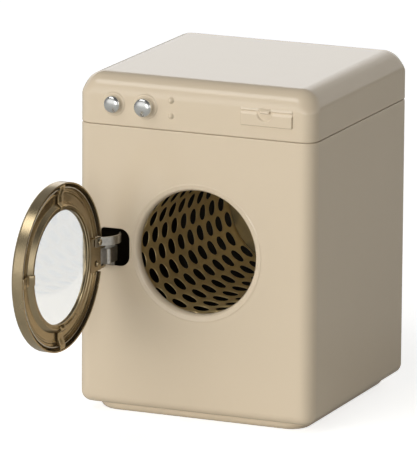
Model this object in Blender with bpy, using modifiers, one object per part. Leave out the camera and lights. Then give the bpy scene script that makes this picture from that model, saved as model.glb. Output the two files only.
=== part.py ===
"""Toy washing machine in painted tin, with a round door, a perforated drum and two knobs.

Run with: blender --background --python part.py
Lengths are in metres. +X is the machine's right, -Y its front and +Z up.
The origin is the centre of the base's underside. The door stands open.
"""

from math import acos, atan2, cos, hypot, pi, radians, sin, sqrt, tan

import bmesh
import bpy
from mathutils import Vector

# Fits and facets
GAP = 0.0003
OVERRUN = 0.004
WELD = 0.00001
CORNER_STEPS = 5
EDGE_STEPS = 4
DOOR_STEPS = 38
MIDDLE_STEPS = 16
SMALL_STEPS = 10
SMOOTH_ANGLE = radians(35)
FLAT_ANGLE = radians(0.5)

# Housing sheet
BODY_DEPTH = 0.088
HEIGHT = 0.120
SHEET = 0.0007
DRAWN_SHEET = 0.0005
CORNER_RADIUS = 0.005
LEAST_RADIUS = 0.0003
FLOOR_HEIGHT = 0.0032
FLOOR_EDGE_RADIUS = 0.0034
FLOOR_EDGE_WIDTH = 0.011
COVER_HEIGHT = 0.0176
SHOULDER_CHAMFER = 0.00045
LIP_HEIGHT = 0.0036
TOP_EDGE_RADIUS = 0.0075
TOP_SWELL_SHARE = 0.6

# Base pan and the tabs that hold it
PLINTH_INSET = 0.0044
PLINTH_CORNER_RADIUS = 0.0081
PLINTH_EDGE_RADIUS = 0.0026
TAB_WIDTH = 0.006
TAB_LENGTH = 0.0035
TAB_BEND_RADIUS = 0.0006
TAB_SPACING = 0.040

# Porthole in the front, with its rolled bead
PORTHOLE_X = 0.00076
PORTHOLE_DROP = 0.04207
PORTHOLE_LAP = 0.00755
BEAD_WIDTH = 0.00285
BEAD_HEIGHT = 0.0008
BEAD_ROOT = 0.0004
FLANGE_DEPTH = 0.0025
BEAD_SHARES = ((1.0, 0.0), (0.84, 0.6), (0.62, 1.0), (0.36, 0.9), (0.13, 0.25), (0.0, -0.7))

# Back opening, panel and screws
BACK_FRAME_SIDE = 0.0095
BACK_FRAME_END = 0.0095
BACK_OPENING_RADIUS = 0.004
PANEL_OVERLAP = 0.0036
PANEL_RADIUS = 0.003
PANEL_FIELD_MARGIN = 0.002
PANEL_FIELD_HEIGHT = 0.0006
SCREW_HEAD_RADIUS = 0.0015
SCREW_HEAD_HEIGHT = 0.0009
SCREW_SHANK_RADIUS = 0.0007
SCREW_LENGTH = 0.0034
SCREW_SLOT_WIDTH = 0.0004
SCREW_SLOT_DEPTH = 0.0004
COVER_SCREW_FROM_SIDE = 0.018

# Knobs
KNOB_DROP = 0.0099
PROGRAM_KNOB_FROM_SIDE = 0.0137
KNOB_PITCH = 0.0119
PROGRAM_KNOB_RADIUS = 0.0030
PROGRAM_KNOB_HEIGHT = 0.0024
TEMPERATURE_KNOB_RADIUS = 0.00325
TEMPERATURE_KNOB_HEIGHT = 0.0032
KNOB_CROWN = 0.0013
KNOB_WAIST = 0.0004
KNOB_SHAFT_RADIUS = 0.001
KNOB_GROOVE_RADIUS = 0.0007
KNOB_TAIL = 0.0008
KNOB_WASHER_RADIUS = 0.0022
KNOB_WASHER_THICKNESS = 0.0004
COLLAR_HEIGHT = 0.0003
COLLAR_WIDTH = 0.0008
COLLAR_SLOPE = 0.0006

# Pips and the false drawer pressed into the cover's front
PIP_FROM_KNOB = 0.0095
PIP_DROP = 0.00965
PIP_SPACING = 0.0054
PIP_RADIUS = 0.0007
DRAWER_WIDTH = 0.0194
DRAWER_HEIGHT = 0.0050
DRAWER_FROM_SIDE = 0.0077
DRAWER_DROP = 0.0130
DRAWER_RELIEF = 0.0007
DRAWER_RADIUS = 0.0006
DRAWER_GROOVE = 0.0004
RAIL_HEIGHT = 0.0008
PULL_WIDTH = 0.0050
PULL_TIP_WIDTH = 0.0036
PULL_DROP = 0.0015
PULL_RELIEF = 0.0010
PULL_FROM_SIDE = 0.0180
SCOOP_RADIUS = 0.0033
SCOOP_DEPTH = 0.0005

# Door
DOOR_RADIUS = 0.0293
DOOR_OPEN_ANGLE = radians(93)
DOOR_THICKNESS = 0.0046
DOOR_PANEL_GAP = 0.0005
WINDOW_INSET = 0.0020
BEZEL_SHEET = 0.0005
BEZEL_APERTURE_DEPTH = 0.0028
BEZEL_FACE_INSET = 0.0020
BEZEL_FACE_DEPTH = 0.00055
BEZEL_NOSE_INSET = 0.0008
BEZEL_NOSE_DEPTH = 0.00035
BEZEL_SHOULDER_DEPTH = 0.00095
LINER_SHEET = 0.0004
LINER_THROAT_WIDTH = 0.0014
LINER_CREST_DEPTH = 0.0044
LINER_FUNNEL_WIDTH = 0.00135
LINER_DISH_DEPTH = 0.0028
LINER_RIB_INSET = 0.0035
LINER_RIB_WIDTH = 0.0005
LINER_RIB_HEIGHT = 0.0003
LINER_INSET = 0.0016
LINER_LIP_DEPTH = 0.0039
WINDOW_THICKNESS = 0.0004
WINDOW_LAP = 0.00115
CLIP_WIDTH = 0.0033
CLIP_SHEET = 0.0005
CLIP_RISE = 0.0007

# Hinge
HINGE_FROM_SIDE = 0.0105
HINGE_REACH = 0.00496
HINGE_STANDOFF = 0.0039
PIN_RADIUS = 0.0008
PIN_HEAD_RADIUS = 0.0013
PIN_HEAD_HEIGHT = 0.0006
LEAF_DROP = 0.00693
LEAF_HEIGHT = 0.0078
LEAF_SHEET = 0.0008
LEAF_EYE_RADIUS = 0.0019
LEAF_PLATE = 0.0005
LEAF_PLATE_START = 0.0046
LEAF_ARM_END = 0.0060
LEAF_ARM_ROOT = 0.0011
STRAP_SHEET = 0.0006
STRAP_BOTTOM_MARGIN = 0.0006
STRAP_RETURN = 0.0041
STRAP_BEND_RADIUS = 0.0008
BRACKET_FOOT_LEFT = 0.0051
BRACKET_FOOT_RIGHT = 0.0031
BRACKET_FOOT_DROP = 0.0093
STAY_RADIUS = 0.0069
STAY_SHEET = 0.0006
STAY_HEIGHT = 0.0030
STAY_LIFT = 0.0010
STAY_END_ANGLE = radians(129)
STAY_FOOT_END = 0.0094
STAY_BEND_RADIUS = 0.0008
STAY_STEPS = 14
RIVET_REACH = 0.0074
RIVET_HEAD_RADIUS = 0.0011
RIVET_HEAD_HEIGHT = 0.0006
RIVET_SHANK_RADIUS = 0.0005
RIVET_TAIL_RADIUS = 0.0008
RIVET_TAIL_HEIGHT = 0.0005
LOWER_RIVET_RISE = 0.0026
SLOT_LEFT = 0.0015
SLOT_BRIDGE = 0.0002
SLOT_RIGHT_RADIUS = 0.0035
SLOT_LEFT_RADIUS = 0.0012
SLOT_TOP_MARGIN = 0.0010

# Drum
DRUM_LAP = 0.00185
DRUM_SHEET = 0.0004
DRUM_ROW_PITCH = 0.00674
DRUM_HOLE_RADIUS = 0.0026
DRUM_HOLE_SIDES = 8
DRUM_HOLE_PITCH = 0.00833
DRUM_FRONT_GAP = 0.0010
DRUM_FRONT_BAND = 0.0018
DRUM_BACK_BAND = 0.0016
DRUM_BACK_GAP = 0.0024
DRUM_FIRST_ROW = radians(12.9)
DRUM_BACK_SHEET = 0.0006
DRUM_BACK_RIM = 0.0018
AXLE_RADIUS = 0.0015
AXLE_HEAD_RADIUS = 0.0032
AXLE_HEAD_HEIGHT = 0.0009
AXLE_TAIL = 0.0006
AXLE_GROOVE_RADIUS = 0.0011
HUB_RADIUS = 0.0045
HUB_THICKNESS = 0.0009
BUSH_FLANGE_RADIUS = 0.0042
BUSH_FLANGE_THICKNESS = 0.0006
BUSH_WALL = 0.0009
BUSH_LIP_RADIUS = 0.0036
AXLE_CLIP_RADIUS = 0.0033
AXLE_CLIP_THICKNESS = 0.0006

# Places worked out from the sizes above: the body is as wide as the door needs
BODY_WIDTH = 2.0 * (DOOR_RADIUS + HINGE_REACH + HINGE_FROM_SIDE - PORTHOLE_X)
FRONT = -0.5 * BODY_DEPTH
BACK = 0.5 * BODY_DEPTH
LEFT = -0.5 * BODY_WIDTH
RIGHT = 0.5 * BODY_WIDTH
SEAM_HEIGHT = HEIGHT - COVER_HEIGHT
COVER_BOTTOM = SEAM_HEIGHT + GAP
KNOB_Z = HEIGHT - KNOB_DROP
PIP_Z = HEIGHT - PIP_DROP
DRAWER_BOTTOM = HEIGHT - DRAWER_DROP
LIP_INSET = SHEET + GAP
PORTHOLE_Z = SEAM_HEIGHT - PORTHOLE_DROP
PIVOT_X = LEFT + HINGE_FROM_SIDE
PIVOT_Y = FRONT - HINGE_STANDOFF
DOOR_REACH = PORTHOLE_X - PIVOT_X
PORTHOLE_RADIUS = DOOR_RADIUS - PORTHOLE_LAP
WINDOW_OPENING_RADIUS = PORTHOLE_RADIUS - WINDOW_INSET
BEZEL_FACE_RADIUS = DOOR_RADIUS - BEZEL_FACE_INSET
BEZEL_NOSE_RADIUS = DOOR_RADIUS - BEZEL_NOSE_INSET
LINER_CREST_RADIUS = WINDOW_OPENING_RADIUS + LINER_THROAT_WIDTH
LINER_DISH_RADIUS = LINER_CREST_RADIUS + LINER_FUNNEL_WIDTH
LINER_RIB_RADIUS = DOOR_RADIUS - LINER_RIB_INSET
LINER_RADIUS = DOOR_RADIUS - LINER_INSET
DOOR_FACE = HINGE_STANDOFF - DOOR_PANEL_GAP - DOOR_THICKNESS
LEAF_BOTTOM = PORTHOLE_Z - LEAF_DROP
LEAF_TOP = LEAF_BOTTOM + LEAF_HEIGHT
STAY_BOTTOM = LEAF_TOP + STAY_LIFT
STAY_TOP = STAY_BOTTOM + STAY_HEIGHT
STRAP_BOTTOM = LEAF_BOTTOM + LEAF_SHEET + STRAP_BOTTOM_MARGIN
STRAP_TOP = LEAF_TOP - LEAF_SHEET - GAP
LEAF_PLATE_DEPTH = LINER_DISH_DEPTH + 0.5 * LINER_SHEET + GAP
LEAF_PLATE_END = DOOR_REACH - LINER_DISH_RADIUS
SLOT_BOTTOM = LEAF_BOTTOM - GAP
SLOT_TOP = STAY_TOP + SLOT_TOP_MARGIN
SLOT_RIGHT = PORTHOLE_X - PORTHOLE_RADIUS - BEAD_WIDTH - BEAD_ROOT - SLOT_BRIDGE
PANEL_FACE = BACK - SHEET - GAP
PANEL_HALF_WIDTH = RIGHT - BACK_FRAME_SIDE + PANEL_OVERLAP
PANEL_MIDDLE = 0.5 * (SEAM_HEIGHT - SHEET + FLOOR_HEIGHT)
PANEL_HALF_HEIGHT = 0.5 * (SEAM_HEIGHT - SHEET - FLOOR_HEIGHT) - BACK_FRAME_END + PANEL_OVERLAP
DRUM_FRONT = FRONT + FLANGE_DEPTH - DRUM_FRONT_GAP
DRUM_RADIUS = PORTHOLE_RADIUS + DRUM_LAP
DRUM_LENGTH = PANEL_FACE - DRUM_BACK_GAP - DRUM_FRONT
DRUM_ROWS = 2 * round(pi * DRUM_RADIUS / DRUM_ROW_PITCH)
DRUM_ROW_HOLES = int((DRUM_LENGTH - DRUM_FRONT_BAND - DRUM_BACK_BAND) / DRUM_HOLE_PITCH - 0.5)


def clear_scene():
    """Start from an empty file."""
    for item in list(bpy.data.objects):
        bpy.data.objects.remove(item, do_unlink=True)


clear_scene()
PARTS = bpy.data.collections.new("toy_washing_machine")
CUTTERS = bpy.data.collections.new("cutters")
bpy.context.scene.collection.children.link(PARTS)
bpy.context.scene.collection.children.link(CUTTERS)


def finish(name, colour, roughness, metallic, alpha=1.0):
    """One plain material."""
    material = bpy.data.materials.new(name)
    material.use_nodes = True
    shader = material.node_tree.nodes["Principled BSDF"]
    shader.inputs["Base Color"].default_value = (*colour, 1.0)
    shader.inputs["Roughness"].default_value = roughness
    shader.inputs["Metallic"].default_value = metallic
    shader.inputs["Alpha"].default_value = alpha
    return material


CREAM_PAINT = finish("cream_paint", (0.67, 0.56, 0.41), 0.3, 0.0)
BRONZE = finish("bronze_lacquered_tin", (0.42, 0.31, 0.17), 0.3, 1.0)
DRUM_GOLD = finish("gold_lacquered_tin", (0.36, 0.27, 0.14), 0.35, 1.0)
CHROME = finish("chromed_brass", (0.80, 0.80, 0.79), 0.12, 1.0)
STEEL = finish("zinc_plated_steel", (0.48, 0.46, 0.43), 0.4, 1.0)
CLEAR = finish("clear_polystyrene", (0.90, 0.90, 0.90), 0.05, 0.0, 0.25)


def axis_empty(name, location, angle=0.0):
    """An empty on a joint's axis. What turns about it is its child."""
    empty = bpy.data.objects.new(name, None)
    empty.location = location
    empty.rotation_euler = (0.0, 0.0, angle)
    PARTS.objects.link(empty)
    return empty


DOOR_AXIS = axis_empty("door_hinge_axis", (PIVOT_X, PIVOT_Y, 0.0), -DOOR_OPEN_ANGLE)
DRUM_AXIS = axis_empty("drum_axis", (PORTHOLE_X, 0.0, PORTHOLE_Z))
OUT_OF_FRONT = (0.5 * pi, 0.0, 0.0)
OUT_OF_BACK = (-0.5 * pi, 0.0, 0.0)


def place(name, mesh, material, location=(0.0, 0.0, 0.0), rotation=(0.0, 0.0, 0.0), parent=None):
    """A named piece of the machine."""
    piece = bpy.data.objects.new(name, mesh)
    if material and not mesh.materials:
        mesh.materials.append(material)
    mesh.shade_smooth()
    mesh.set_sharp_from_angle(angle=SMOOTH_ANGLE)
    piece.location = location
    piece.rotation_euler = rotation
    piece.parent = parent
    PARTS.objects.link(piece)
    return piece


def helper(name, mesh, location=(0.0, 0.0, 0.0), rotation=(0.0, 0.0, 0.0), parent=None):
    """A shape that only cuts a piece or is joined to one."""
    shape = bpy.data.objects.new(name, mesh)
    shape.location = location
    shape.rotation_euler = rotation
    shape.parent = parent
    shape.hide_render = True
    shape.display_type = "WIRE"
    CUTTERS.objects.link(shape)
    return shape


def combine(piece, shape, operation):
    """Cut a shape out of a piece, or join it on."""
    modifier = piece.modifiers.new(shape.name, "BOOLEAN")
    modifier.operation = operation
    modifier.object = shape
    modifier.solver = "EXACT"


def cut(piece, shape):
    """Take a shape out of a piece."""
    combine(piece, shape, "DIFFERENCE")


def join(piece, shape):
    """Make a shape part of a piece."""
    combine(piece, shape, "UNION")


def thicken(piece, thickness):
    """Give an open surface its sheet, inwards from the surface."""
    modifier = piece.modifiers.new("sheet", "SOLIDIFY")
    modifier.thickness = thickness
    modifier.offset = -1.0
    modifier.use_even_offset = True


def rounded_rectangle(half_x, half_y, radius, steps=CORNER_STEPS):
    """Points of a rectangle with round corners, anticlockwise."""
    points = []
    for side_x, side_y, start in ((1, 1, 0.0), (-1, 1, 0.5 * pi), (-1, -1, pi), (1, -1, 1.5 * pi)):
        for step in range(steps + 1):
            angle = start + 0.5 * pi * step / steps
            x = side_x * (half_x - radius) + radius * cos(angle)
            y = side_y * (half_y - radius) + radius * sin(angle)
            points.append((x, y))
    return points


def loft(name, sections, cap_start=False, cap_end=False):
    """A surface through sections (half width, half depth, corner radius, height), bottom to top."""
    frame = bmesh.new()
    rings = []
    for half_x, half_y, radius, height in sections:
        outline = rounded_rectangle(half_x, half_y, radius)
        rings.append([frame.verts.new((x, y, height)) for x, y in outline])
    for lower, upper in zip(rings, rings[1:]):
        for index in range(len(lower)):
            after = (index + 1) % len(lower)
            frame.faces.new((lower[index], lower[after], upper[after], upper[index]))
    if cap_start:
        frame.faces.new(list(reversed(rings[0])))
    if cap_end:
        frame.faces.new(rings[-1])
    mesh = bpy.data.meshes.new(name)
    frame.to_mesh(mesh)
    frame.free()
    return mesh


def plate(name, outline, thickness, holes=()):
    """A flat piece: an outline in X and Y, with its thickness along Z about the middle."""
    curve = bpy.data.curves.new(name, "CURVE")
    curve.dimensions = "2D"
    curve.fill_mode = "BOTH"
    curve.extrude = 0.5 * thickness
    for loop in (outline, *holes):
        spline = curve.splines.new("POLY")
        spline.points.add(len(loop) - 1)
        for point, (x, y) in zip(spline.points, loop):
            point.co = (x, y, 0.0, 1.0)
        spline.use_cyclic_u = True
    flat = bpy.data.objects.new(name, curve)
    CUTTERS.objects.link(flat)
    evaluated = flat.evaluated_get(bpy.context.evaluated_depsgraph_get())
    mesh = bpy.data.meshes.new_from_object(evaluated)
    bpy.data.objects.remove(flat)
    bpy.data.curves.remove(curve)
    frame = bmesh.new()
    frame.from_mesh(mesh)
    bmesh.ops.remove_doubles(frame, verts=frame.verts, dist=WELD)
    if not holes:
        bmesh.ops.dissolve_limit(frame, angle_limit=FLAT_ANGLE, verts=frame.verts, edges=frame.edges)
    bmesh.ops.recalc_face_normals(frame, faces=frame.faces)
    frame.to_mesh(mesh)
    frame.free()
    return mesh


def circle(radius, steps, centre=(0.0, 0.0)):
    """Points round a circle, anticlockwise."""
    points = []
    for step in range(steps):
        angle = 2.0 * pi * step / steps
        points.append((centre[0] + radius * cos(angle), centre[1] + radius * sin(angle)))
    return points


def arc(radius, start, end, steps, centre=(0.0, 0.0)):
    """Points along an arc, both ends included."""
    points = []
    for step in range(steps + 1):
        angle = start + (end - start) * step / steps
        points.append((centre[0] + radius * cos(angle), centre[1] + radius * sin(angle)))
    return points


def rounded(points, index, radius, steps=4):
    """An open path with one of its corners rounded."""
    before = Vector(points[index - 1])
    corner = Vector(points[index])
    after = Vector(points[index + 1])
    back = (before - corner).normalized()
    ahead = (after - corner).normalized()
    half_angle = 0.5 * back.angle(ahead)
    room = 0.95 * min((before - corner).length, (after - corner).length)
    radius = min(radius, room * tan(half_angle))
    centre = corner + (back + ahead).normalized() * (radius / sin(half_angle))
    start = corner + back * (radius / tan(half_angle)) - centre
    end = corner + ahead * (radius / tan(half_angle)) - centre
    sweep = start.angle_signed(end)
    first = atan2(start.y, start.x)
    bend = arc(radius, first, first - sweep, steps, centre)
    return points[:index] + bend + points[index + 1:]


def beside(points, distance):
    """The path that runs beside an open path, at a distance to its left."""
    path = [Vector(point) for point in points]
    result = []
    for index, point in enumerate(path):
        normals = []
        for start, end in ((index - 1, index), (index, index + 1)):
            if 0 <= start and end < len(path):
                along = (path[end] - path[start]).normalized()
                normals.append(Vector((-along.y, along.x)))
        middle = (normals[0] + normals[-1]).normalized()
        result.append(tuple(point + middle * (distance / middle.dot(normals[0]))))
    return result


def strip(points, thickness):
    """The outline of a bent strip about its middle line."""
    left = beside(points, 0.5 * thickness)
    right = beside(points, -0.5 * thickness)
    return left + list(reversed(right))


def turned(name, outline, steps):
    """A mesh turned about Z from an outline of radius and height. A closed one doesn't touch the axis."""
    on_axis = [point for point in outline if point[0] < WELD]
    area = sum(a[0] * b[1] - b[0] * a[1] for a, b in zip(outline, outline[1:] + outline[:1]))
    if area > 0:
        outline = list(reversed(outline))
    if on_axis:
        first = next(i for i, point in enumerate(outline) if point[0] < WELD and outline[i - 1][0] < WELD)
        outline = outline[first:] + outline[:first]
    mesh = bpy.data.meshes.new(name)
    edges = [(index, index + 1) for index in range(len(outline) - 1)]
    if not on_axis:
        edges.append((len(outline) - 1, 0))
    mesh.from_pydata([(radius, 0.0, height) for radius, height in outline], edges, [])
    lathe = bpy.data.objects.new(name, mesh)
    CUTTERS.objects.link(lathe)
    screw = lathe.modifiers.new("turn", "SCREW")
    screw.steps = steps
    screw.render_steps = steps
    screw.use_merge_vertices = True
    screw.merge_threshold = WELD
    evaluated = lathe.evaluated_get(bpy.context.evaluated_depsgraph_get())
    solid = bpy.data.meshes.new_from_object(evaluated)
    bpy.data.objects.remove(lathe)
    bpy.data.meshes.remove(mesh)
    solid.name = name
    return solid


def boxes(name, corners):
    """One mesh of separate boxes, each given by its lowest and highest corner."""
    frame = bmesh.new()
    for low, high in corners:
        low = Vector(low)
        high = Vector(high)
        made = bmesh.ops.create_cube(frame, size=1.0)["verts"]
        for vertex in made:
            share = vertex.co + Vector((0.5, 0.5, 0.5))
            vertex.co = [low[axis] + share[axis] * (high[axis] - low[axis]) for axis in range(3)]
    mesh = bpy.data.meshes.new(name)
    frame.to_mesh(mesh)
    frame.free()
    return mesh


def rods(name, radius, middles, length, steps=SMALL_STEPS):
    """One mesh of separate round rods along Z about their middles."""
    frame = bmesh.new()
    for middle in middles:
        made = bmesh.ops.create_cone(
            frame, cap_ends=True, segments=steps, radius1=radius, radius2=radius, depth=length
        )
        bmesh.ops.translate(frame, verts=made["verts"], vec=middle)
    mesh = bpy.data.meshes.new(name)
    frame.to_mesh(mesh)
    frame.free()
    return mesh


def side_corner(inset, radius=CORNER_RADIUS):
    """The corner radius of a section that lies inside the outer one."""
    return max(radius - inset, LEAST_RADIUS)


def section(inset, height, radius):
    """One section of the housing."""
    return (RIGHT - inset, BACK - inset, radius, height)


def tab_places():
    """Where the base pan's tabs stand: the middle of each, and its turn about Z."""
    places = []
    for quarter in range(4):
        for side in (-0.5, 0.5):
            places.append((quarter * 0.5 * pi, side * TAB_SPACING))
    return places


def plinth_half(quarter_angle):
    """Half the plinth across the side that a tab stands on."""
    along_x = abs(cos(quarter_angle)) > 0.5
    return (RIGHT if along_x else BACK) - PLINTH_INSET


def back_screw_places():
    """The four screws of the back panel, in X and Z."""
    across = PANEL_HALF_WIDTH - 0.5 * PANEL_OVERLAP
    along = PANEL_HALF_HEIGHT - 0.5 * PANEL_OVERLAP
    return [(x * across, PANEL_MIDDLE + z * along) for x in (-1, 1) for z in (-1, 1)]


def cover_screw_places():
    """The two screws through the cover's back edge, in X and Z."""
    height = COVER_BOTTOM + 0.5 * LIP_HEIGHT
    return [(side * (RIGHT - COVER_SCREW_FROM_SIDE), height) for side in (-1, 1)]


def body_shell():
    """The drawn body: floor edge, four walls, shoulder and the lip that the cover slips over."""
    sections = [section(FLOOR_EDGE_WIDTH, FLOOR_HEIGHT, side_corner(FLOOR_EDGE_WIDTH))]
    for step in range(EDGE_STEPS + 1):
        angle = 0.5 * pi * step / EDGE_STEPS
        inset = FLOOR_EDGE_RADIUS * (1.0 - sin(angle))
        height = FLOOR_HEIGHT + FLOOR_EDGE_RADIUS * (1.0 - cos(angle))
        sections.append(section(inset, height, side_corner(inset)))
    sections.append(section(0.0, SEAM_HEIGHT - SHOULDER_CHAMFER, CORNER_RADIUS))
    sections.append(section(SHOULDER_CHAMFER, SEAM_HEIGHT, side_corner(SHOULDER_CHAMFER)))
    sections.append(section(LIP_INSET, SEAM_HEIGHT, side_corner(LIP_INSET)))
    sections.append(section(LIP_INSET, SEAM_HEIGHT + LIP_HEIGHT, side_corner(LIP_INSET)))
    body = place("body_shell", loft("body_shell", sections), CREAM_PAINT)
    thicken(body, SHEET)
    cut(body, porthole_cutter())
    cut(body, hinge_slot())
    cut(body, back_opening())
    cut(body, tab_slots())
    screw_hole = SCREW_SHANK_RADIUS + GAP
    places = [(x, -z, BACK) for x, z in back_screw_places() + cover_screw_places()]
    holes = rods("body_screw_holes", screw_hole, places, 2.0 * OVERRUN)
    cut(body, helper("body_screw_holes", holes, rotation=OUT_OF_BACK))
    join(body, porthole_bead())


def porthole_cutter():
    """The round hole that the bead is drawn from."""
    radius = PORTHOLE_RADIUS + BEAD_WIDTH + 0.5 * BEAD_ROOT
    mesh = rods("porthole_cutter", radius, [(0.0, 0.0, 0.0)], 2.0 * OVERRUN, DOOR_STEPS)
    half_facet = (0.5 * pi, pi / DOOR_STEPS, 0.0)
    return helper("porthole_cutter", mesh, (PORTHOLE_X, FRONT, PORTHOLE_Z), half_facet)


def porthole_bead():
    """The bead round the porthole and the flange turned in behind it."""
    inner = PORTHOLE_RADIUS + 0.5 * DRAWN_SHEET
    width = BEAD_WIDTH - 0.5 * DRAWN_SHEET
    rise = BEAD_HEIGHT - 0.5 * DRAWN_SHEET + 0.5 * SHEET
    path = [(inner + width + BEAD_ROOT, -0.5 * SHEET)]
    for across, up in BEAD_SHARES:
        path.append((inner + across * width, -0.5 * SHEET + up * rise))
    path.append((inner, -FLANGE_DEPTH))
    mesh = turned("porthole_bead", strip(path, DRAWN_SHEET), DOOR_STEPS)
    return helper("porthole_bead", mesh, (PORTHOLE_X, FRONT, PORTHOLE_Z), OUT_OF_FRONT)


def hinge_slot():
    """The slot beside the porthole that the hinge and the stay pass through."""
    left = PIVOT_X - SLOT_LEFT
    inner_right = SLOT_RIGHT - SLOT_RIGHT_RADIUS
    inner_left = left + SLOT_LEFT_RADIUS
    outline = arc(SLOT_RIGHT_RADIUS, -0.5 * pi, 0.0, 5, (inner_right, SLOT_BOTTOM + SLOT_RIGHT_RADIUS))
    outline += arc(SLOT_RIGHT_RADIUS, 0.0, 0.5 * pi, 5, (inner_right, SLOT_TOP - SLOT_RIGHT_RADIUS))
    outline += arc(SLOT_LEFT_RADIUS, 0.5 * pi, pi, 3, (inner_left, SLOT_TOP - SLOT_LEFT_RADIUS))
    outline += arc(SLOT_LEFT_RADIUS, pi, 1.5 * pi, 3, (inner_left, SLOT_BOTTOM + SLOT_LEFT_RADIUS))
    mesh = plate("hinge_slot", outline, 2.0 * OVERRUN)
    return helper("hinge_slot", mesh, (0.0, FRONT, 0.0), OUT_OF_FRONT)


def back_opening():
    """The opening that the back panel closes."""
    half_width = PANEL_HALF_WIDTH - PANEL_OVERLAP
    half_height = PANEL_HALF_HEIGHT - PANEL_OVERLAP
    mesh = plate("back_opening", rounded_rectangle(half_width, half_height, BACK_OPENING_RADIUS), 2.0 * OVERRUN)
    return helper("back_opening", mesh, (0.0, BACK, PANEL_MIDDLE), OUT_OF_FRONT)


def tab_slots():
    """The slots in the floor edge that the base pan's tabs pass through."""
    slots = []
    half_width = 0.5 * TAB_WIDTH + GAP
    half_sheet = 0.5 * SHEET + GAP
    for turn, offset in tab_places():
        reach = plinth_half(turn) - 0.5 * SHEET
        if abs(cos(turn)) > 0.5:
            x = reach * cos(turn)
            y = offset
            half = (half_sheet, half_width)
        else:
            x = offset
            y = reach * sin(turn)
            half = (half_width, half_sheet)
        low = (x - half[0], y - half[1], FLOOR_HEIGHT - OVERRUN)
        high = (x + half[0], y + half[1], FLOOR_HEIGHT + SHEET + GAP)
        slots.append((low, high))
    return helper("tab_slots", boxes("tab_slots", slots))


def top_cover():
    """The pressed cover with its round edges, and what is pressed into its front."""
    sections = [section(0.0, COVER_BOTTOM, CORNER_RADIUS)]
    for step in range(EDGE_STEPS + 2):
        angle = 0.5 * pi * step / (EDGE_STEPS + 1)
        inset = TOP_EDGE_RADIUS * (1.0 - cos(angle))
        height = HEIGHT - TOP_EDGE_RADIUS * (1.0 - sin(angle))
        swell = CORNER_RADIUS + TOP_SWELL_SHARE * TOP_EDGE_RADIUS * sin(angle)
        radius = max(min(TOP_EDGE_RADIUS * cos(angle), swell), LEAST_RADIUS)
        sections.append(section(inset, height, radius if step else CORNER_RADIUS))
    cover = place("top_cover", loft("top_cover", sections, cap_end=True), CREAM_PAINT)
    thicken(cover, SHEET)
    shaft_hole = KNOB_SHAFT_RADIUS + GAP
    places = [(x, KNOB_Z, -FRONT) for x, radius in knob_places()]
    holes = rods("knob_holes", shaft_hole, places, 2.0 * OVERRUN)
    cut(cover, helper("knob_holes", holes, rotation=OUT_OF_FRONT))
    screw_hole = SCREW_SHANK_RADIUS + GAP
    places = [(x, -z, BACK) for x, z in cover_screw_places()]
    holes = rods("cover_screw_holes", screw_hole, places, 2.0 * OVERRUN)
    cut(cover, helper("cover_screw_holes", holes, rotation=OUT_OF_BACK))
    for number, (x, radius) in enumerate(knob_places()):
        join(cover, knob_collar(number, x, radius))
    join(cover, pips())
    join(cover, drawer_front())


def knob_places():
    """The knobs' places across the front, with their radii."""
    first = LEFT + PROGRAM_KNOB_FROM_SIDE
    return [(first, PROGRAM_KNOB_RADIUS), (first + KNOB_PITCH, TEMPERATURE_KNOB_RADIUS)]


def drawer_middle():
    """The middle of the drawer front, in X."""
    return RIGHT - DRAWER_FROM_SIDE - 0.5 * DRAWER_WIDTH


def relief(name, outline, proud):
    """A raised shape on the cover's front, rooted in the sheet."""
    thickness = proud + 0.5 * SHEET
    mesh = plate(name, outline, thickness)
    return helper(name, mesh, (0.0, FRONT + 0.5 * SHEET - 0.5 * thickness, 0.0), OUT_OF_FRONT)


def shifted(points, x, y):
    """Points moved in their plane."""
    return [(point[0] + x, point[1] + y) for point in points]


def drawer_front():
    """The drawer front with its finger scoop, the rail above it and the pull."""
    outline = rounded_rectangle(0.5 * DRAWER_WIDTH, 0.5 * DRAWER_HEIGHT, DRAWER_RADIUS, 3)
    outline = shifted(outline, drawer_middle(), DRAWER_BOTTOM + 0.5 * DRAWER_HEIGHT)
    front = relief("drawer_front", outline, DRAWER_RELIEF)
    cut(front, drawer_scoop())
    join(front, drawer_rail())
    join(front, drawer_pull())
    return front


def drawer_rail():
    """The rail above the drawer front."""
    outline = rounded_rectangle(0.5 * DRAWER_WIDTH, 0.5 * RAIL_HEIGHT, 0.4 * RAIL_HEIGHT, 3)
    middle = DRAWER_BOTTOM + DRAWER_HEIGHT + DRAWER_GROOVE + 0.5 * RAIL_HEIGHT
    return relief("drawer_rail", shifted(outline, drawer_middle(), middle), DRAWER_RELIEF)


def drawer_scoop():
    """The finger scoop under the pull."""
    middle = RIGHT - PULL_FROM_SIDE
    top = DRAWER_BOTTOM + DRAWER_HEIGHT - 0.4 * DRAWER_GROOVE
    outline = arc(SCOOP_RADIUS, pi, 2.0 * pi, 12, (middle, top))
    mesh = plate("drawer_scoop", outline, SCOOP_DEPTH + OVERRUN)
    reach = FRONT - DRAWER_RELIEF + SCOOP_DEPTH - 0.5 * (SCOOP_DEPTH + OVERRUN)
    return helper("drawer_scoop", mesh, (0.0, reach, 0.0), OUT_OF_FRONT)


def drawer_pull():
    """The tapered pull that hangs from the rail over the scoop."""
    middle = RIGHT - PULL_FROM_SIDE
    top = DRAWER_BOTTOM + DRAWER_HEIGHT + DRAWER_GROOVE + 0.5 * RAIL_HEIGHT
    bottom = top - PULL_DROP
    outline = [
        (middle - 0.5 * PULL_TIP_WIDTH, bottom),
        (middle + 0.5 * PULL_TIP_WIDTH, bottom),
        (middle + 0.5 * PULL_WIDTH, top),
        (middle - 0.5 * PULL_WIDTH, top),
    ]
    return relief("drawer_pull", outline, PULL_RELIEF)


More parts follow.
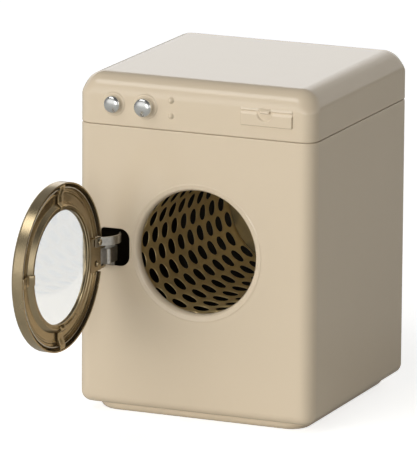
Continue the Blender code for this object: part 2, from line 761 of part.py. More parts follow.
def pips():
    """The two pips beside the knobs."""
    frame = bmesh.new()
    x = knob_places()[-1][0] + PIP_FROM_KNOB
    for side in (-0.5, 0.5):
        made = bmesh.ops.create_uvsphere(frame, u_segments=10, v_segments=6, radius=PIP_RADIUS)
        middle = (x, FRONT, PIP_Z + side * PIP_SPACING)
        bmesh.ops.translate(frame, verts=made["verts"], vec=middle)
    mesh = bpy.data.meshes.new("pips")
    frame.to_mesh(mesh)
    frame.free()
    return helper("pips", mesh)


def knob_collar(number, x, radius):
    """The low pressed collar round a knob."""
    top = radius + COLLAR_WIDTH
    inner = KNOB_SHAFT_RADIUS + 2.0 * GAP
    outline = [(inner, COLLAR_HEIGHT), (top, COLLAR_HEIGHT), (top + COLLAR_SLOPE, 0.0)]
    outline += [(top + COLLAR_SLOPE, -0.5 * SHEET), (inner, -0.5 * SHEET)]
    name = "knob_collar_" + str(number + 1)
    mesh = turned(name, outline, MIDDLE_STEPS)
    return helper(name, mesh, (x, FRONT, KNOB_Z), OUT_OF_FRONT)


def base_pan():
    """The pan that the machine stands on, held by tabs bent over inside the body."""
    sections = []
    for step in range(EDGE_STEPS + 1):
        angle = 0.5 * pi * step / EDGE_STEPS
        inset = PLINTH_EDGE_RADIUS * (1.0 - sin(angle))
        height = PLINTH_EDGE_RADIUS * (1.0 - cos(angle))
        radius = max(PLINTH_CORNER_RADIUS - inset, LEAST_RADIUS)
        sections.append(section(PLINTH_INSET + inset, height, radius))
    sections.append(section(PLINTH_INSET, FLOOR_HEIGHT - GAP, PLINTH_CORNER_RADIUS))
    pan = place("base_pan", loft("base_pan", sections, cap_start=True), CREAM_PAINT)
    thicken(pan, SHEET)
    for number, (turn, offset) in enumerate(tab_places()):
        join(pan, pan_tab(number, turn, offset))


def pan_tab(number, turn, offset):
    """One tab: up through the floor edge and bent inwards over it."""
    reach = plinth_half(turn) - 0.5 * SHEET
    bottom = FLOOR_HEIGHT - GAP - SHEET
    top = FLOOR_HEIGHT + SHEET + GAP + 0.5 * SHEET
    path = [(reach, bottom), (reach, top), (reach - TAB_LENGTH, top)]
    path = rounded(path, 1, TAB_BEND_RADIUS, 3)
    name = "pan_tab_" + str(number + 1)
    mesh = plate(name, strip(path, 0.96 * SHEET), TAB_WIDTH)
    stand = helper(name, mesh)
    stand.rotation_mode = "XYZ"
    stand.rotation_euler = (0.5 * pi, 0.0, turn)
    stand.location = (-offset * sin(turn), offset * cos(turn), 0.0)
    return stand


def back_panel():
    """The panel inside the back wall, with a raised field and the hole for the axle's bush."""
    field_x = PANEL_HALF_WIDTH - PANEL_OVERLAP - PANEL_FIELD_MARGIN
    field_z = PANEL_HALF_HEIGHT - PANEL_OVERLAP - PANEL_FIELD_MARGIN
    slope = 1.5 * PANEL_FIELD_HEIGHT
    sections = [
        (PANEL_HALF_WIDTH, PANEL_HALF_HEIGHT, PANEL_RADIUS, 0.0),
        (field_x, field_z, PANEL_RADIUS, 0.0),
        (field_x - slope, field_z - slope, PANEL_RADIUS - 0.5 * slope, PANEL_FIELD_HEIGHT),
    ]
    mesh = loft("back_panel", sections, cap_end=True)
    panel = place("back_panel", mesh, CREAM_PAINT, (0.0, PANEL_FACE, PANEL_MIDDLE), OUT_OF_BACK)
    thicken(panel, SHEET)
    hole = AXLE_RADIUS + GAP + BUSH_WALL + GAP
    mesh = rods("bush_hole", hole, [(0.0, 0.0, 0.0)], 2.0 * OVERRUN, MIDDLE_STEPS)
    cut(panel, helper("bush_hole", mesh, (PORTHOLE_X, PANEL_FACE, PORTHOLE_Z), OUT_OF_BACK))
    places = [(x, -z, PANEL_FACE) for x, z in back_screw_places()]
    holes = rods("panel_screw_holes", SCREW_SHANK_RADIUS + GAP, places, 2.0 * OVERRUN)
    cut(panel, helper("panel_screw_holes", holes, rotation=OUT_OF_BACK))


def screws():
    """Slotted screws in the back: four in the panel and two in the cover."""
    outline = [(0.0, SCREW_HEAD_HEIGHT), (0.6 * SCREW_HEAD_RADIUS, SCREW_HEAD_HEIGHT)]
    outline += [(0.9 * SCREW_HEAD_RADIUS, 0.7 * SCREW_HEAD_HEIGHT), (SCREW_HEAD_RADIUS, 0.0)]
    outline += [(SCREW_SHANK_RADIUS, 0.0), (SCREW_SHANK_RADIUS, -SCREW_LENGTH), (0.0, -SCREW_LENGTH)]
    mesh = turned("slotted_screw", outline, SMALL_STEPS)
    half = 0.5 * SCREW_SLOT_WIDTH
    low = (-half, -SCREW_HEAD_RADIUS - OVERRUN, SCREW_HEAD_HEIGHT - SCREW_SLOT_DEPTH)
    high = (half, SCREW_HEAD_RADIUS + OVERRUN, SCREW_HEAD_HEIGHT + OVERRUN)
    places = [("back_screw", number, spot) for number, spot in enumerate(back_screw_places())]
    places += [("cover_screw", number, spot) for number, spot in enumerate(cover_screw_places())]
    for name, number, (x, z) in places:
        title = name + "_" + str(number + 1)
        seat = (x, BACK + GAP, z)
        screw = place(title, mesh.copy(), STEEL, seat, OUT_OF_BACK)
        slot = helper(title + "_slot", boxes(title + "_slot", [(low, high)]), seat, OUT_OF_BACK)
        cut(screw, slot)


def knob(name, x, radius, height):
    """A domed knob on its shaft, and the washer that holds it behind the cover."""
    base = COLLAR_HEIGHT + GAP
    crown = []
    for step in range(6):
        angle = 0.5 * pi * step / 5
        crown.append((radius * sin(angle), base + height - KNOB_CROWN * (1.0 - cos(angle))))
    waist = radius - KNOB_WAIST
    groove_top = -SHEET - GAP
    washer_top = groove_top - 0.5 * GAP
    groove_bottom = washer_top - KNOB_WASHER_THICKNESS - GAP
    outline = crown + [(radius, base + KNOB_WAIST), (waist, base), (KNOB_SHAFT_RADIUS, base)]
    outline += [(KNOB_SHAFT_RADIUS, groove_top + 0.5 * GAP), (KNOB_GROOVE_RADIUS, groove_top + 0.5 * GAP)]
    outline += [(KNOB_GROOVE_RADIUS, groove_bottom), (KNOB_SHAFT_RADIUS, groove_bottom)]
    outline += [(KNOB_SHAFT_RADIUS, groove_bottom - KNOB_TAIL), (0.0, groove_bottom - KNOB_TAIL)]
    seat = (x, FRONT, KNOB_Z)
    place(name, turned(name, outline, MIDDLE_STEPS), CHROME, seat, OUT_OF_FRONT)
    hole = KNOB_GROOVE_RADIUS + 0.7 * GAP
    washer_bottom = washer_top - KNOB_WASHER_THICKNESS
    ring = [(hole, washer_top), (KNOB_WASHER_RADIUS, washer_top)]
    ring += [(KNOB_WASHER_RADIUS, washer_bottom), (hole, washer_bottom)]
    title = name + "_washer"
    place(title, turned(title, ring, SMALL_STEPS), STEEL, seat, OUT_OF_FRONT)


def door_seat():
    """Where the door's outer face is centred, from the hinge axis with the door closed."""
    return (DOOR_REACH, DOOR_FACE, PORTHOLE_Z)


def door_profile(points, thickness):
    """The outline of a door ring from radii and depths behind the outer face."""
    return strip([(radius, -depth) for radius, depth in points], thickness)


def door_notch(name, depth):
    """What the hinge leaf needs taken out of a door ring."""
    low = (0.5 * HINGE_REACH, DOOR_FACE + depth, LEAF_BOTTOM - GAP)
    tallest = max(PORTHOLE_Z - LEAF_BOTTOM, STAY_TOP - PORTHOLE_Z) + GAP
    rib = LINER_RIB_RADIUS - LINER_RIB_WIDTH
    end = DOOR_REACH - sqrt(rib * rib - tallest * tallest) + GAP
    high = (end, DOOR_FACE + DOOR_THICKNESS + OVERRUN, STAY_TOP + GAP)
    return helper(name, boxes(name, [(low, high)]), parent=DOOR_AXIS)


def door_bezel():
    """The outer ring of the door, with three tabs folded over the liner."""
    wall = DOOR_RADIUS - 0.5 * BEZEL_SHEET
    path = [
        (WINDOW_OPENING_RADIUS, BEZEL_APERTURE_DEPTH),
        (BEZEL_FACE_RADIUS, BEZEL_FACE_DEPTH),
        (BEZEL_NOSE_RADIUS, BEZEL_NOSE_DEPTH),
        (wall, BEZEL_SHOULDER_DEPTH),
        (wall, DOOR_THICKNESS),
    ]
    mesh = turned("door_bezel", door_profile(path, BEZEL_SHEET), DOOR_STEPS)
    bezel = place("door_bezel", mesh, BRONZE, door_seat(), OUT_OF_FRONT, DOOR_AXIS)
    cut(bezel, door_notch("bezel_notch", BEZEL_SHOULDER_DEPTH + BEZEL_SHEET))
    for number, turn in enumerate((0.0, 0.5 * pi, -0.5 * pi)):
        join(bezel, bezel_tab(number, turn))


def bezel_tab(number, turn):
    """One tab: from the rim over the liner's lip and down along its dish."""
    root = DOOR_RADIUS - 0.6 * BEZEL_SHEET
    over = LINER_LIP_DEPTH + GAP + 0.5 * CLIP_SHEET
    along = LINER_DISH_DEPTH + 0.5 * LINER_SHEET + GAP + 0.75 * CLIP_SHEET
    path = [
        (root, over - CLIP_RISE),
        (0.5 * (root + LINER_RADIUS), over),
        (LINER_RADIUS - LINER_SHEET - GAP, over),
        (LINER_RIB_RADIUS - 2.0 * LINER_RIB_WIDTH, along),
        (LINER_DISH_RADIUS, along),
    ]
    name = "bezel_tab_" + str(number + 1)
    mesh = plate(name, strip(path, CLIP_SHEET), CLIP_WIDTH)
    return helper(name, mesh, door_seat(), (0.0, turn, 0.0), DOOR_AXIS)


def door_liner():
    """The dished inner ring that clamps the window."""
    edge = BEZEL_APERTURE_DEPTH + 0.5 * BEZEL_SHEET + 0.5 * GAP + WINDOW_THICKNESS + 0.5 * GAP
    edge_depth = edge + 0.5 * LINER_SHEET
    fold = LINER_CREST_RADIUS - 0.5 * WINDOW_LAP
    lip = LINER_RADIUS - 0.5 * LINER_SHEET
    path = [
        (WINDOW_OPENING_RADIUS, edge_depth),
        (fold, edge_depth + 0.2 * LINER_SHEET),
        (LINER_CREST_RADIUS, LINER_CREST_DEPTH),
        (0.5 * (LINER_CREST_RADIUS + LINER_DISH_RADIUS), 0.5 * (LINER_CREST_DEPTH + LINER_DISH_DEPTH)),
        (LINER_DISH_RADIUS, LINER_DISH_DEPTH),
        (LINER_RIB_RADIUS - LINER_RIB_WIDTH, LINER_DISH_DEPTH),
        (LINER_RIB_RADIUS, LINER_DISH_DEPTH + LINER_RIB_HEIGHT),
        (LINER_RIB_RADIUS + LINER_RIB_WIDTH, LINER_DISH_DEPTH),
        (lip - 0.5 * LINER_SHEET, LINER_DISH_DEPTH),
        (lip, LINER_LIP_DEPTH),
    ]
    mesh = turned("door_liner", door_profile(path, LINER_SHEET), DOOR_STEPS)
    liner = place("door_liner", mesh, BRONZE, door_seat(), OUT_OF_FRONT, DOOR_AXIS)
    cut(liner, door_notch("liner_notch", LEAF_PLATE_DEPTH - 0.8 * GAP))
    holes = rods("liner_rivet_holes", RIVET_SHANK_RADIUS + GAP, rivet_middles(), 2.0 * OVERRUN)
    cut(liner, helper("liner_rivet_holes", holes, rotation=OUT_OF_FRONT, parent=DOOR_AXIS))


def rivet_heights():
    """The heights of the two rivets that hold the leaf and the stay to the liner."""
    return [LEAF_BOTTOM + LOWER_RIVET_RISE, 0.5 * (STAY_BOTTOM + STAY_TOP)]


def rivet_middles():
    """The rivets' places in the door, for rods that run out of its face."""
    return [(RIVET_REACH, height, -DOOR_FACE) for height in rivet_heights()]


def door_window():
    """The clear disc between the two rings."""
    radius = WINDOW_OPENING_RADIUS + WINDOW_LAP
    depth = BEZEL_APERTURE_DEPTH + 0.5 * BEZEL_SHEET + 0.5 * GAP + 0.5 * WINDOW_THICKNESS
    mesh = rods("door_window", radius, [(0.0, 0.0, -depth)], WINDOW_THICKNESS, DOOR_STEPS)
    place("door_window", mesh, CLEAR, door_seat(), OUT_OF_FRONT, DOOR_AXIS)


def hinge_leaf():
    """The leaf on the door: a plate on the liner and two arms with eyes for the pin."""
    plate_face = DOOR_FACE + LEAF_PLATE_DEPTH
    low = (LEAF_PLATE_START, plate_face, LEAF_BOTTOM)
    high = (LEAF_PLATE_END, plate_face + LEAF_PLATE, STAY_TOP)
    leaf = place("hinge_leaf", boxes("hinge_leaf", [(low, high)]), BRONZE, parent=DOOR_AXIS)
    tip = (LEAF_ARM_END, plate_face + 0.8 * LEAF_PLATE)
    root = (LEAF_ARM_END, LEAF_ARM_ROOT)
    eye_top = acos(LEAF_EYE_RADIUS / hypot(*tip)) + atan2(tip[1], tip[0])
    eye_bottom = atan2(root[1], root[0]) - acos(LEAF_EYE_RADIUS / hypot(*root))
    outline = [root, tip] + arc(LEAF_EYE_RADIUS, eye_top, eye_bottom + 2.0 * pi, SMALL_STEPS)
    eye = circle(PIN_RADIUS + GAP, SMALL_STEPS)
    for number, height in enumerate((LEAF_BOTTOM + 0.5 * LEAF_SHEET, LEAF_TOP - 0.5 * LEAF_SHEET)):
        name = "leaf_arm_" + str(number + 1)
        lift = WELD if number == 0 else 0.0
        mesh = plate(name, outline, LEAF_SHEET, [eye])
        join(leaf, helper(name, mesh, (0.0, 0.0, height + lift), parent=DOOR_AXIS))
    holes = rods("leaf_rivet_holes", RIVET_SHANK_RADIUS + GAP, rivet_middles(), 2.0 * OVERRUN)
    cut(leaf, helper("leaf_rivet_holes", holes, rotation=OUT_OF_FRONT, parent=DOOR_AXIS))


def stay_foot_depth():
    """The middle of the stay's foot, from the hinge axis towards the machine."""
    return DOOR_FACE + LEAF_PLATE_DEPTH + LEAF_PLATE + GAP + 0.5 * STAY_SHEET


def door_stay():
    """The curved strap that follows the hinge axis into the slot and steadies the door."""
    foot = stay_foot_depth()
    start = atan2(foot, sqrt(STAY_RADIUS * STAY_RADIUS - foot * foot))
    path = [(STAY_FOOT_END, foot)] + arc(STAY_RADIUS, start, STAY_END_ANGLE, STAY_STEPS)
    path = rounded(path, 1, STAY_BEND_RADIUS)
    hole = RIVET_SHANK_RADIUS + GAP
    mesh = plate("door_stay", strip(path, STAY_SHEET), STAY_HEIGHT)
    middle = 0.5 * (STAY_BOTTOM + STAY_TOP)
    stay = place("door_stay", mesh, STEEL, (0.0, 0.0, middle), parent=DOOR_AXIS)
    drill = rods("stay_rivet_hole", hole, [(RIVET_REACH, middle, -foot)], 4.0 * STAY_SHEET)
    cut(stay, helper("stay_rivet_hole", drill, rotation=OUT_OF_FRONT, parent=DOOR_AXIS))


def leaf_rivets():
    """The two rivets through the leaf and the liner, the upper one through the stay as well."""
    under = DOOR_FACE + LINER_DISH_DEPTH - 0.5 * LINER_SHEET - GAP
    leaf_face = DOOR_FACE + LEAF_PLATE_DEPTH + LEAF_PLATE + GAP
    tops = (leaf_face, leaf_face + STAY_SHEET + GAP)
    for number, (height, top) in enumerate(zip(rivet_heights(), tops)):
        outline = [(0.0, -top - RIVET_HEAD_HEIGHT), (0.7 * RIVET_HEAD_RADIUS, -top - 0.8 * RIVET_HEAD_HEIGHT)]
        outline += [(RIVET_HEAD_RADIUS, -top), (RIVET_SHANK_RADIUS, -top), (RIVET_SHANK_RADIUS, -under)]
        outline += [(RIVET_TAIL_RADIUS, -under), (RIVET_TAIL_RADIUS, RIVET_TAIL_HEIGHT - under)]
        outline += [(0.0, RIVET_TAIL_HEIGHT - under)]
        name = "leaf_rivet_" + str(number + 1)
        mesh = turned(name, outline, SMALL_STEPS)
        place(name, mesh, BRONZE, (RIVET_REACH, 0.0, height), OUT_OF_FRONT, DOOR_AXIS)


def hinge_pin():
    """The pin through the leaf's eyes and the bracket's knuckle, headed at both ends."""
    bottom = LEAF_BOTTOM - GAP
    top = LEAF_TOP + GAP
    outline = [(0.0, top + PIN_HEAD_HEIGHT), (0.7 * PIN_HEAD_RADIUS, top + PIN_HEAD_HEIGHT)]
    outline += [(PIN_HEAD_RADIUS, top + 0.5 * PIN_HEAD_HEIGHT), (PIN_HEAD_RADIUS, top), (PIN_RADIUS, top)]
    outline += [(PIN_RADIUS, bottom), (PIN_HEAD_RADIUS, bottom), (PIN_HEAD_RADIUS, bottom - 0.5 * PIN_HEAD_HEIGHT)]
    outline += [(0.7 * PIN_HEAD_RADIUS, bottom - PIN_HEAD_HEIGHT), (0.0, bottom - PIN_HEAD_HEIGHT)]
    place("hinge_pin", turned("hinge_pin", outline, SMALL_STEPS), STEEL, parent=DOOR_AXIS)


def hinge_bracket():
    """The fixed strap: a knuckle round the pin, back through the slot, and a foot inside the front."""
    knuckle = PIN_RADIUS + GAP + 0.5 * STRAP_SHEET
    foot = HINGE_STANDOFF + SHEET + GAP + 0.5 * SHEET
    path = arc(knuckle, 0.0, 1.5 * pi, SMALL_STEPS)
    path += [(STRAP_RETURN, -knuckle), (STRAP_RETURN, foot), (-0.5 * BRACKET_FOOT_LEFT, foot)]
    path = rounded(path, len(path) - 2, STRAP_BEND_RADIUS, 3)
    path = rounded(path, SMALL_STEPS + 1, STRAP_BEND_RADIUS, 3)
    mesh = plate("hinge_bracket", strip(path, STRAP_SHEET), STRAP_TOP - STRAP_BOTTOM)
    seat = (PIVOT_X, PIVOT_Y, 0.5 * (STRAP_BOTTOM + STRAP_TOP))
    bracket = place("hinge_bracket", mesh, STEEL, seat)
    low = (PIVOT_X - BRACKET_FOOT_LEFT, FRONT + SHEET + GAP, STRAP_BOTTOM - BRACKET_FOOT_DROP)
    high = (PIVOT_X + BRACKET_FOOT_RIGHT, FRONT + 2.0 * SHEET + GAP, STRAP_TOP - STRAP_BOTTOM_MARGIN)
    join(bracket, helper("bracket_foot", boxes("bracket_foot", [(low, high)])))


def drum_lines():
    """Distances of the drum's cross lines from its front edge, half a hole pitch apart."""
    count = 2 * DRUM_ROW_HOLES + 2
    return [DRUM_FRONT_BAND + 0.5 * DRUM_HOLE_PITCH * index for index in range(count)]


def drum_shell():
    """The drum's wall: a sheet with staggered rows of holes, rolled round the axis."""
    frame = bmesh.new()
    lines = drum_lines()
    row_angle = 2.0 * pi / DRUM_ROWS

    def on_drum(angle, distance):
        x = -DRUM_RADIUS * cos(angle)
        z = -DRUM_RADIUS * sin(angle)
        return frame.verts.new((x, DRUM_FRONT + distance, z))

    seams = []
    for row in range(DRUM_ROWS):
        angle = DRUM_FIRST_ROW + (row + 0.5) * row_angle
        seams.append([on_drum(angle, distance) for distance in (0.0, *lines, DRUM_LENGTH)])
    for row in range(DRUM_ROWS):
        before = seams[row - 1]
        after = seams[row]
        start = 1 + row % 2
        ends = list(range(start)) + [start + 2 * DRUM_ROW_HOLES + step for step in range(3 - start)]
        for low in ends:
            frame.faces.new((before[low], before[low + 1], after[low + 1], after[low]))
        middle_angle = DRUM_FIRST_ROW + row * row_angle
        for hole in range(DRUM_ROW_HOLES):
            low = start + 2 * hole
            middle = lines[low]
            rim = []
            for side in range(DRUM_HOLE_SIDES):
                turn = 2.0 * pi * side / DRUM_HOLE_SIDES
                across = DRUM_HOLE_RADIUS * cos(turn) / DRUM_RADIUS
                rim.append(on_drum(middle_angle + across, middle + DRUM_HOLE_RADIUS * sin(turn)))
            border = [after[low + 1], after[low + 2], before[low + 2]]
            border += [before[low + 1], before[low], after[low]]
            fill_cell(frame, border, rim)
    bmesh.ops.recalc_face_normals(frame, faces=frame.faces)
    outer = max(frame.faces, key=lambda face: face.calc_area())
    centre = outer.calc_center_median()
    if outer.normal.x * centre.x + outer.normal.z * centre.z < 0:
        bmesh.ops.reverse_faces(frame, faces=frame.faces)
    mesh = bpy.data.meshes.new("drum_shell")
    frame.to_mesh(mesh)
    frame.free()
    shell = place("drum_shell", mesh, DRUM_GOLD, parent=DRUM_AXIS)
    thicken(shell, DRUM_SHEET)


def fill_cell(frame, border, rim):
    """Faces between a six-cornered cell and the eight-sided hole in it."""
    right, upper_right, upper_left, left, lower_left, lower_right = border
    frame.faces.new((right, upper_right, rim[1], rim[0]))
    frame.faces.new((upper_right, rim[2], rim[1]))
    frame.faces.new((upper_right, upper_left, rim[2]))
    frame.faces.new((upper_left, rim[3], rim[2]))
    frame.faces.new((upper_left, left, rim[4], rim[3]))
    frame.faces.new((left, lower_left, rim[5], rim[4]))
    frame.faces.new((lower_left, rim[6], rim[5]))
    frame.faces.new((lower_left, lower_right, rim[6]))
    frame.faces.new((lower_right, rim[7], rim[6]))
    frame.faces.new((lower_right, right, rim[0], rim[7]))


def drum_back_face():
    """The inner face of the drum's back, in Y."""
    return DRUM_FRONT + DRUM_LENGTH - DRUM_BACK_RIM


def drum_back():
    """The disc that closes the drum, with a rim turned back inside the wall."""
    chord = cos(pi / DRUM_ROWS)
    radius = (DRUM_RADIUS - DRUM_SHEET) * chord - GAP - 0.5 * DRUM_BACK_SHEET
    face = drum_back_face() + 0.5 * DRUM_BACK_SHEET
    hole = AXLE_RADIUS + GAP
    path = [(hole, face), (radius, face), (radius, face + DRUM_BACK_RIM - DRUM_BACK_SHEET)]
    path = rounded(path, 1, 2.0 * DRUM_BACK_SHEET, 3)
    mesh = turned("drum_back", strip(path, DRUM_BACK_SHEET), DOOR_STEPS)
    place("drum_back", mesh, DRUM_GOLD, rotation=OUT_OF_BACK, parent=DRUM_AXIS)


def bush_seat():
    """The outer face of the bush's front flange, in Y."""
    return PANEL_FACE + PANEL_FIELD_HEIGHT - SHEET - GAP


def clip_seat():
    """The face of the axle's clip that is nearest the bush, in Y."""
    return bush_seat() + SHEET + 3.0 * GAP + BUSH_FLANGE_THICKNESS


def axle_end():
    """The end of the axle, in Y."""
    return clip_seat() + AXLE_CLIP_THICKNESS + GAP + AXLE_TAIL


def drum_axle():
    """The axle: a domed head inside the drum, the shaft, and a groove for its clip."""
    face = drum_back_face() - GAP
    groove_start = clip_seat() - 0.5 * GAP
    groove_end = clip_seat() + AXLE_CLIP_THICKNESS + 0.5 * GAP
    end = axle_end()
    outline = [(0.0, end), (0.8 * AXLE_RADIUS, end), (AXLE_RADIUS, end - 0.5 * AXLE_TAIL)]
    outline += [(AXLE_RADIUS, groove_end), (AXLE_GROOVE_RADIUS, groove_end)]
    outline += [(AXLE_GROOVE_RADIUS, groove_start), (AXLE_RADIUS, groove_start), (AXLE_RADIUS, face)]
    outline += [(AXLE_HEAD_RADIUS, face), (0.9 * AXLE_HEAD_RADIUS, face - 0.6 * AXLE_HEAD_HEIGHT)]
    outline += [(0.5 * AXLE_HEAD_RADIUS, face - AXLE_HEAD_HEIGHT), (0.0, face - AXLE_HEAD_HEIGHT)]
    mesh = turned("drum_axle", outline, MIDDLE_STEPS)
    place("drum_axle", mesh, STEEL, rotation=OUT_OF_BACK, parent=DRUM_AXIS)


def ring(name, inner, outer, low, high, material, steps):
    """A plain ring on the drum's axis."""
    outline = [(inner, high), (outer, high), (outer, low), (inner, low)]
    place(name, turned(name, outline, steps), material, rotation=OUT_OF_BACK, parent=DRUM_AXIS)


def drum_hub():
    """The washer that clamps the drum's back to the axle."""
    low = drum_back_face() + DRUM_BACK_SHEET + GAP
    ring("hub_washer", AXLE_RADIUS + GAP, HUB_RADIUS, low, low + HUB_THICKNESS, STEEL, MIDDLE_STEPS)


def axle_bush():
    """The bush clinched into the back panel."""
    bore = AXLE_RADIUS + GAP
    barrel = bore + BUSH_WALL
    front = bush_seat()
    back = front + SHEET + 2.0 * GAP
    outline = [(bore, front - BUSH_FLANGE_THICKNESS), (BUSH_FLANGE_RADIUS, front - BUSH_FLANGE_THICKNESS)]
    outline += [(BUSH_FLANGE_RADIUS, front), (barrel, front), (barrel, back), (BUSH_LIP_RADIUS, back)]
    outline += [(BUSH_LIP_RADIUS, back + BUSH_FLANGE_THICKNESS), (bore, back + BUSH_FLANGE_THICKNESS)]
    seat = (PORTHOLE_X, 0.0, PORTHOLE_Z)
    place("axle_bush", turned("axle_bush", outline, MIDDLE_STEPS), BRONZE, seat, OUT_OF_BACK)


def axle_clip():
    """The clip in the axle's groove, behind the bush."""
    low = clip_seat()
    high = low + AXLE_CLIP_THICKNESS
    ring("axle_clip", AXLE_GROOVE_RADIUS + 0.7 * GAP, AXLE_CLIP_RADIUS, low, high, STEEL, MIDDLE_STEPS)


def build():
    """Every piece of the machine."""
    body_shell()
    top_cover()
    base_pan()
    back_panel()
    screws()
    knob_x = [x for x, radius in knob_places()]
    knob("program_knob", knob_x[0], PROGRAM_KNOB_RADIUS, PROGRAM_KNOB_HEIGHT)
    knob("temperature_knob", knob_x[1], TEMPERATURE_KNOB_RADIUS, TEMPERATURE_KNOB_HEIGHT)
    door_bezel()
    door_liner()
    door_window()
    hinge_leaf()
    door_stay()
    leaf_rivets()
    hinge_pin()
    hinge_bracket()
    drum_shell()
    drum_back()
    drum_axle()
    drum_hub()
    axle_bush()
    axle_clip()


build()
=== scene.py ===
"""Toy washing machine in enamelled tin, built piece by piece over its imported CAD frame.

Lengths are in metres. +X is the machine's right, -Y its front and +Z up. The door stands open.
"""

from math import acos, asin, atan2, cos, hypot, pi, radians, sin, sqrt, tan

import bmesh
import bpy
from mathutils import Matrix, Vector


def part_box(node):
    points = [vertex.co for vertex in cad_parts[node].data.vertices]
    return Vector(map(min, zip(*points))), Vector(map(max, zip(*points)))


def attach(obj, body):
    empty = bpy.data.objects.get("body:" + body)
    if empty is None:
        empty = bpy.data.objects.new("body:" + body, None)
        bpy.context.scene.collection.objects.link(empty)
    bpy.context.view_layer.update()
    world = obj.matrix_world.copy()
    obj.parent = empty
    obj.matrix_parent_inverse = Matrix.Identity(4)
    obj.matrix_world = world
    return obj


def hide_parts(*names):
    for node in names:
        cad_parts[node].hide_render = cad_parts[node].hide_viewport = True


bl_info = {
    "name": "Toy Washing Machine",
    "version": (1, 0, 0),
    "blender": (4, 5, 0),
    "location": "3D View > Sidebar > Toy Washer",
    "description": "Builds a tin toy washing machine over its CAD frame, one piece at a time",
    "category": "Add Mesh",
}

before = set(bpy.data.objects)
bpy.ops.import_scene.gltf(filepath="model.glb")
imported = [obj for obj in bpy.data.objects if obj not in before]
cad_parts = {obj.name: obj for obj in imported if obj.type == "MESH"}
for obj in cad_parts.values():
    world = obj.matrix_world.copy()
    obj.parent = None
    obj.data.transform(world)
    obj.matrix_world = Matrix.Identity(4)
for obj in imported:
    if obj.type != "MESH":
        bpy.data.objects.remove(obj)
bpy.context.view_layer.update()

# What the frame gives
BODY_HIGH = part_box("body_shell")[1]
COVER_LOW, COVER_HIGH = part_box("top_cover")
PAN_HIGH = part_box("base_pan")[1]
PANEL_LOW, PANEL_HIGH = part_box("back_panel")
DRUM_LOW, DRUM_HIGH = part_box("drum_shell")
PIN_LOW, PIN_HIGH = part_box("hinge_pin")
BEZEL_LOW, BEZEL_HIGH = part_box("door_bezel")

RIGHT = COVER_HIGH.x
FRONT = -BODY_HIGH.y
BACK = BODY_HIGH.y
TOP = COVER_HIGH.z
COVER_BOTTOM = COVER_LOW.z
LIP_TOP = BODY_HIGH.z
AXIS_X = 0.5 * (DRUM_LOW.x + DRUM_HIGH.x)
AXIS_Z = 0.5 * (BEZEL_LOW.z + BEZEL_HIGH.z)
PIVOT_X = 0.5 * (PIN_LOW.x + PIN_HIGH.x)
PIVOT_Y = 0.5 * (PIN_LOW.y + PIN_HIGH.y)

# Fits and mesh steps
GAP = 0.0003
TINY = 0.000001
THROUGH = 0.004
CORNER_STEPS = 14
RING_STEPS = 144
SMALL_STEPS = 40
BEND_STEPS = 6
SMOOTH_ANGLE = radians(32)

# Housing
SEAM = COVER_BOTTOM - GAP
FLOOR = 0.0032
FLOOR_EDGE_RADIUS = 0.0034
FLOOR_EDGE_WIDTH = 0.011
SHOULDER = 0.00045
EDGE_SWELL = 0.6
LEAST_RADIUS = 0.0003
HEM = 0.00015
BEAD_RISE = ((1.0, 0.0), (0.95, 0.12), (0.89, 0.6), (0.83, 1.0), (0.76, 0.95), (0.68, 0.55), (0.6, 0.15))
RIM_ROLL = ((0.5, 0.004), (0.42, 0.018), (0.34, 0.055), (0.26, 0.123), (0.18, 0.232), (0.1, 0.4), (0.05, 0.564),
            (0.015, 0.757))
BEAD_WIDTH = 0.00285
FLANGE_DEPTH = 0.0025
SLOT_EDGE = 0.00028
PAN_INSET = RIGHT - PAN_HIGH.x
PAN_CORNER = 0.0081
PAN_EDGE_RADIUS = 0.0026
TAB_SPACING = 0.040
TAB_WIDTH = 0.006
TAB_REACH = 0.0035
PANEL_OVERLAP = 0.0036
PANEL_CORNER = 0.003
AXLE_OPENING = 0.0030

# Places in the cover's front
KNOB_Z = TOP - 0.0099
KNOB_X = (-RIGHT + 0.0137, -RIGHT + 0.0256)
KNOB_RADII = (0.0030, 0.00325)
KNOB_HEIGHTS = (0.0024, 0.0032)
KNOB_CROWN = 0.0013
SHAFT_RADIUS = 0.001
GROOVE_RADIUS = 0.0007
COLLAR_WIDTH = 0.0008
COLLAR_SLOPE = 0.00045
COLLAR_HEIGHT = 0.0003
PIP_X = KNOB_X[1] + 0.0095
PIP_Z = TOP - 0.00965
PIP_SPACING = 0.0054
PIP_FOOT = 1.35
DRAWER_X = RIGHT - 0.0174
DRAWER_Z = TOP - 0.0105
DRAWER_CORNER = 0.0006
PRESS_EDGE = 0.00036
PULL_X = RIGHT - 0.0180
PULL_HALF = 0.0025
PULL_TAPER = 0.0007
PULL_DROP = 0.0018
PULL_RELIEF = 0.0013
DRAWER_SLOPE = 0.0009
RAIL_TOP = 0.0013
RAIL_BOTTOM = 0.0003
RAIL_SLOPE = 0.00075
RAIL_RELIEF = 0.00055
SCOOP_RADIUS = 0.0031
SCOOP_SLOPE = 0.0007
SCOOP_DEPTH = 0.0006
SCOOP_DROP = 0.0002

# Screws
COVER_SCREW_X = RIGHT - 0.018
SCREW_RADIUS = 0.0015
SCREW_HEIGHT = 0.0009
SHANK_RADIUS = 0.0007
SHANK_LENGTH = 0.0034

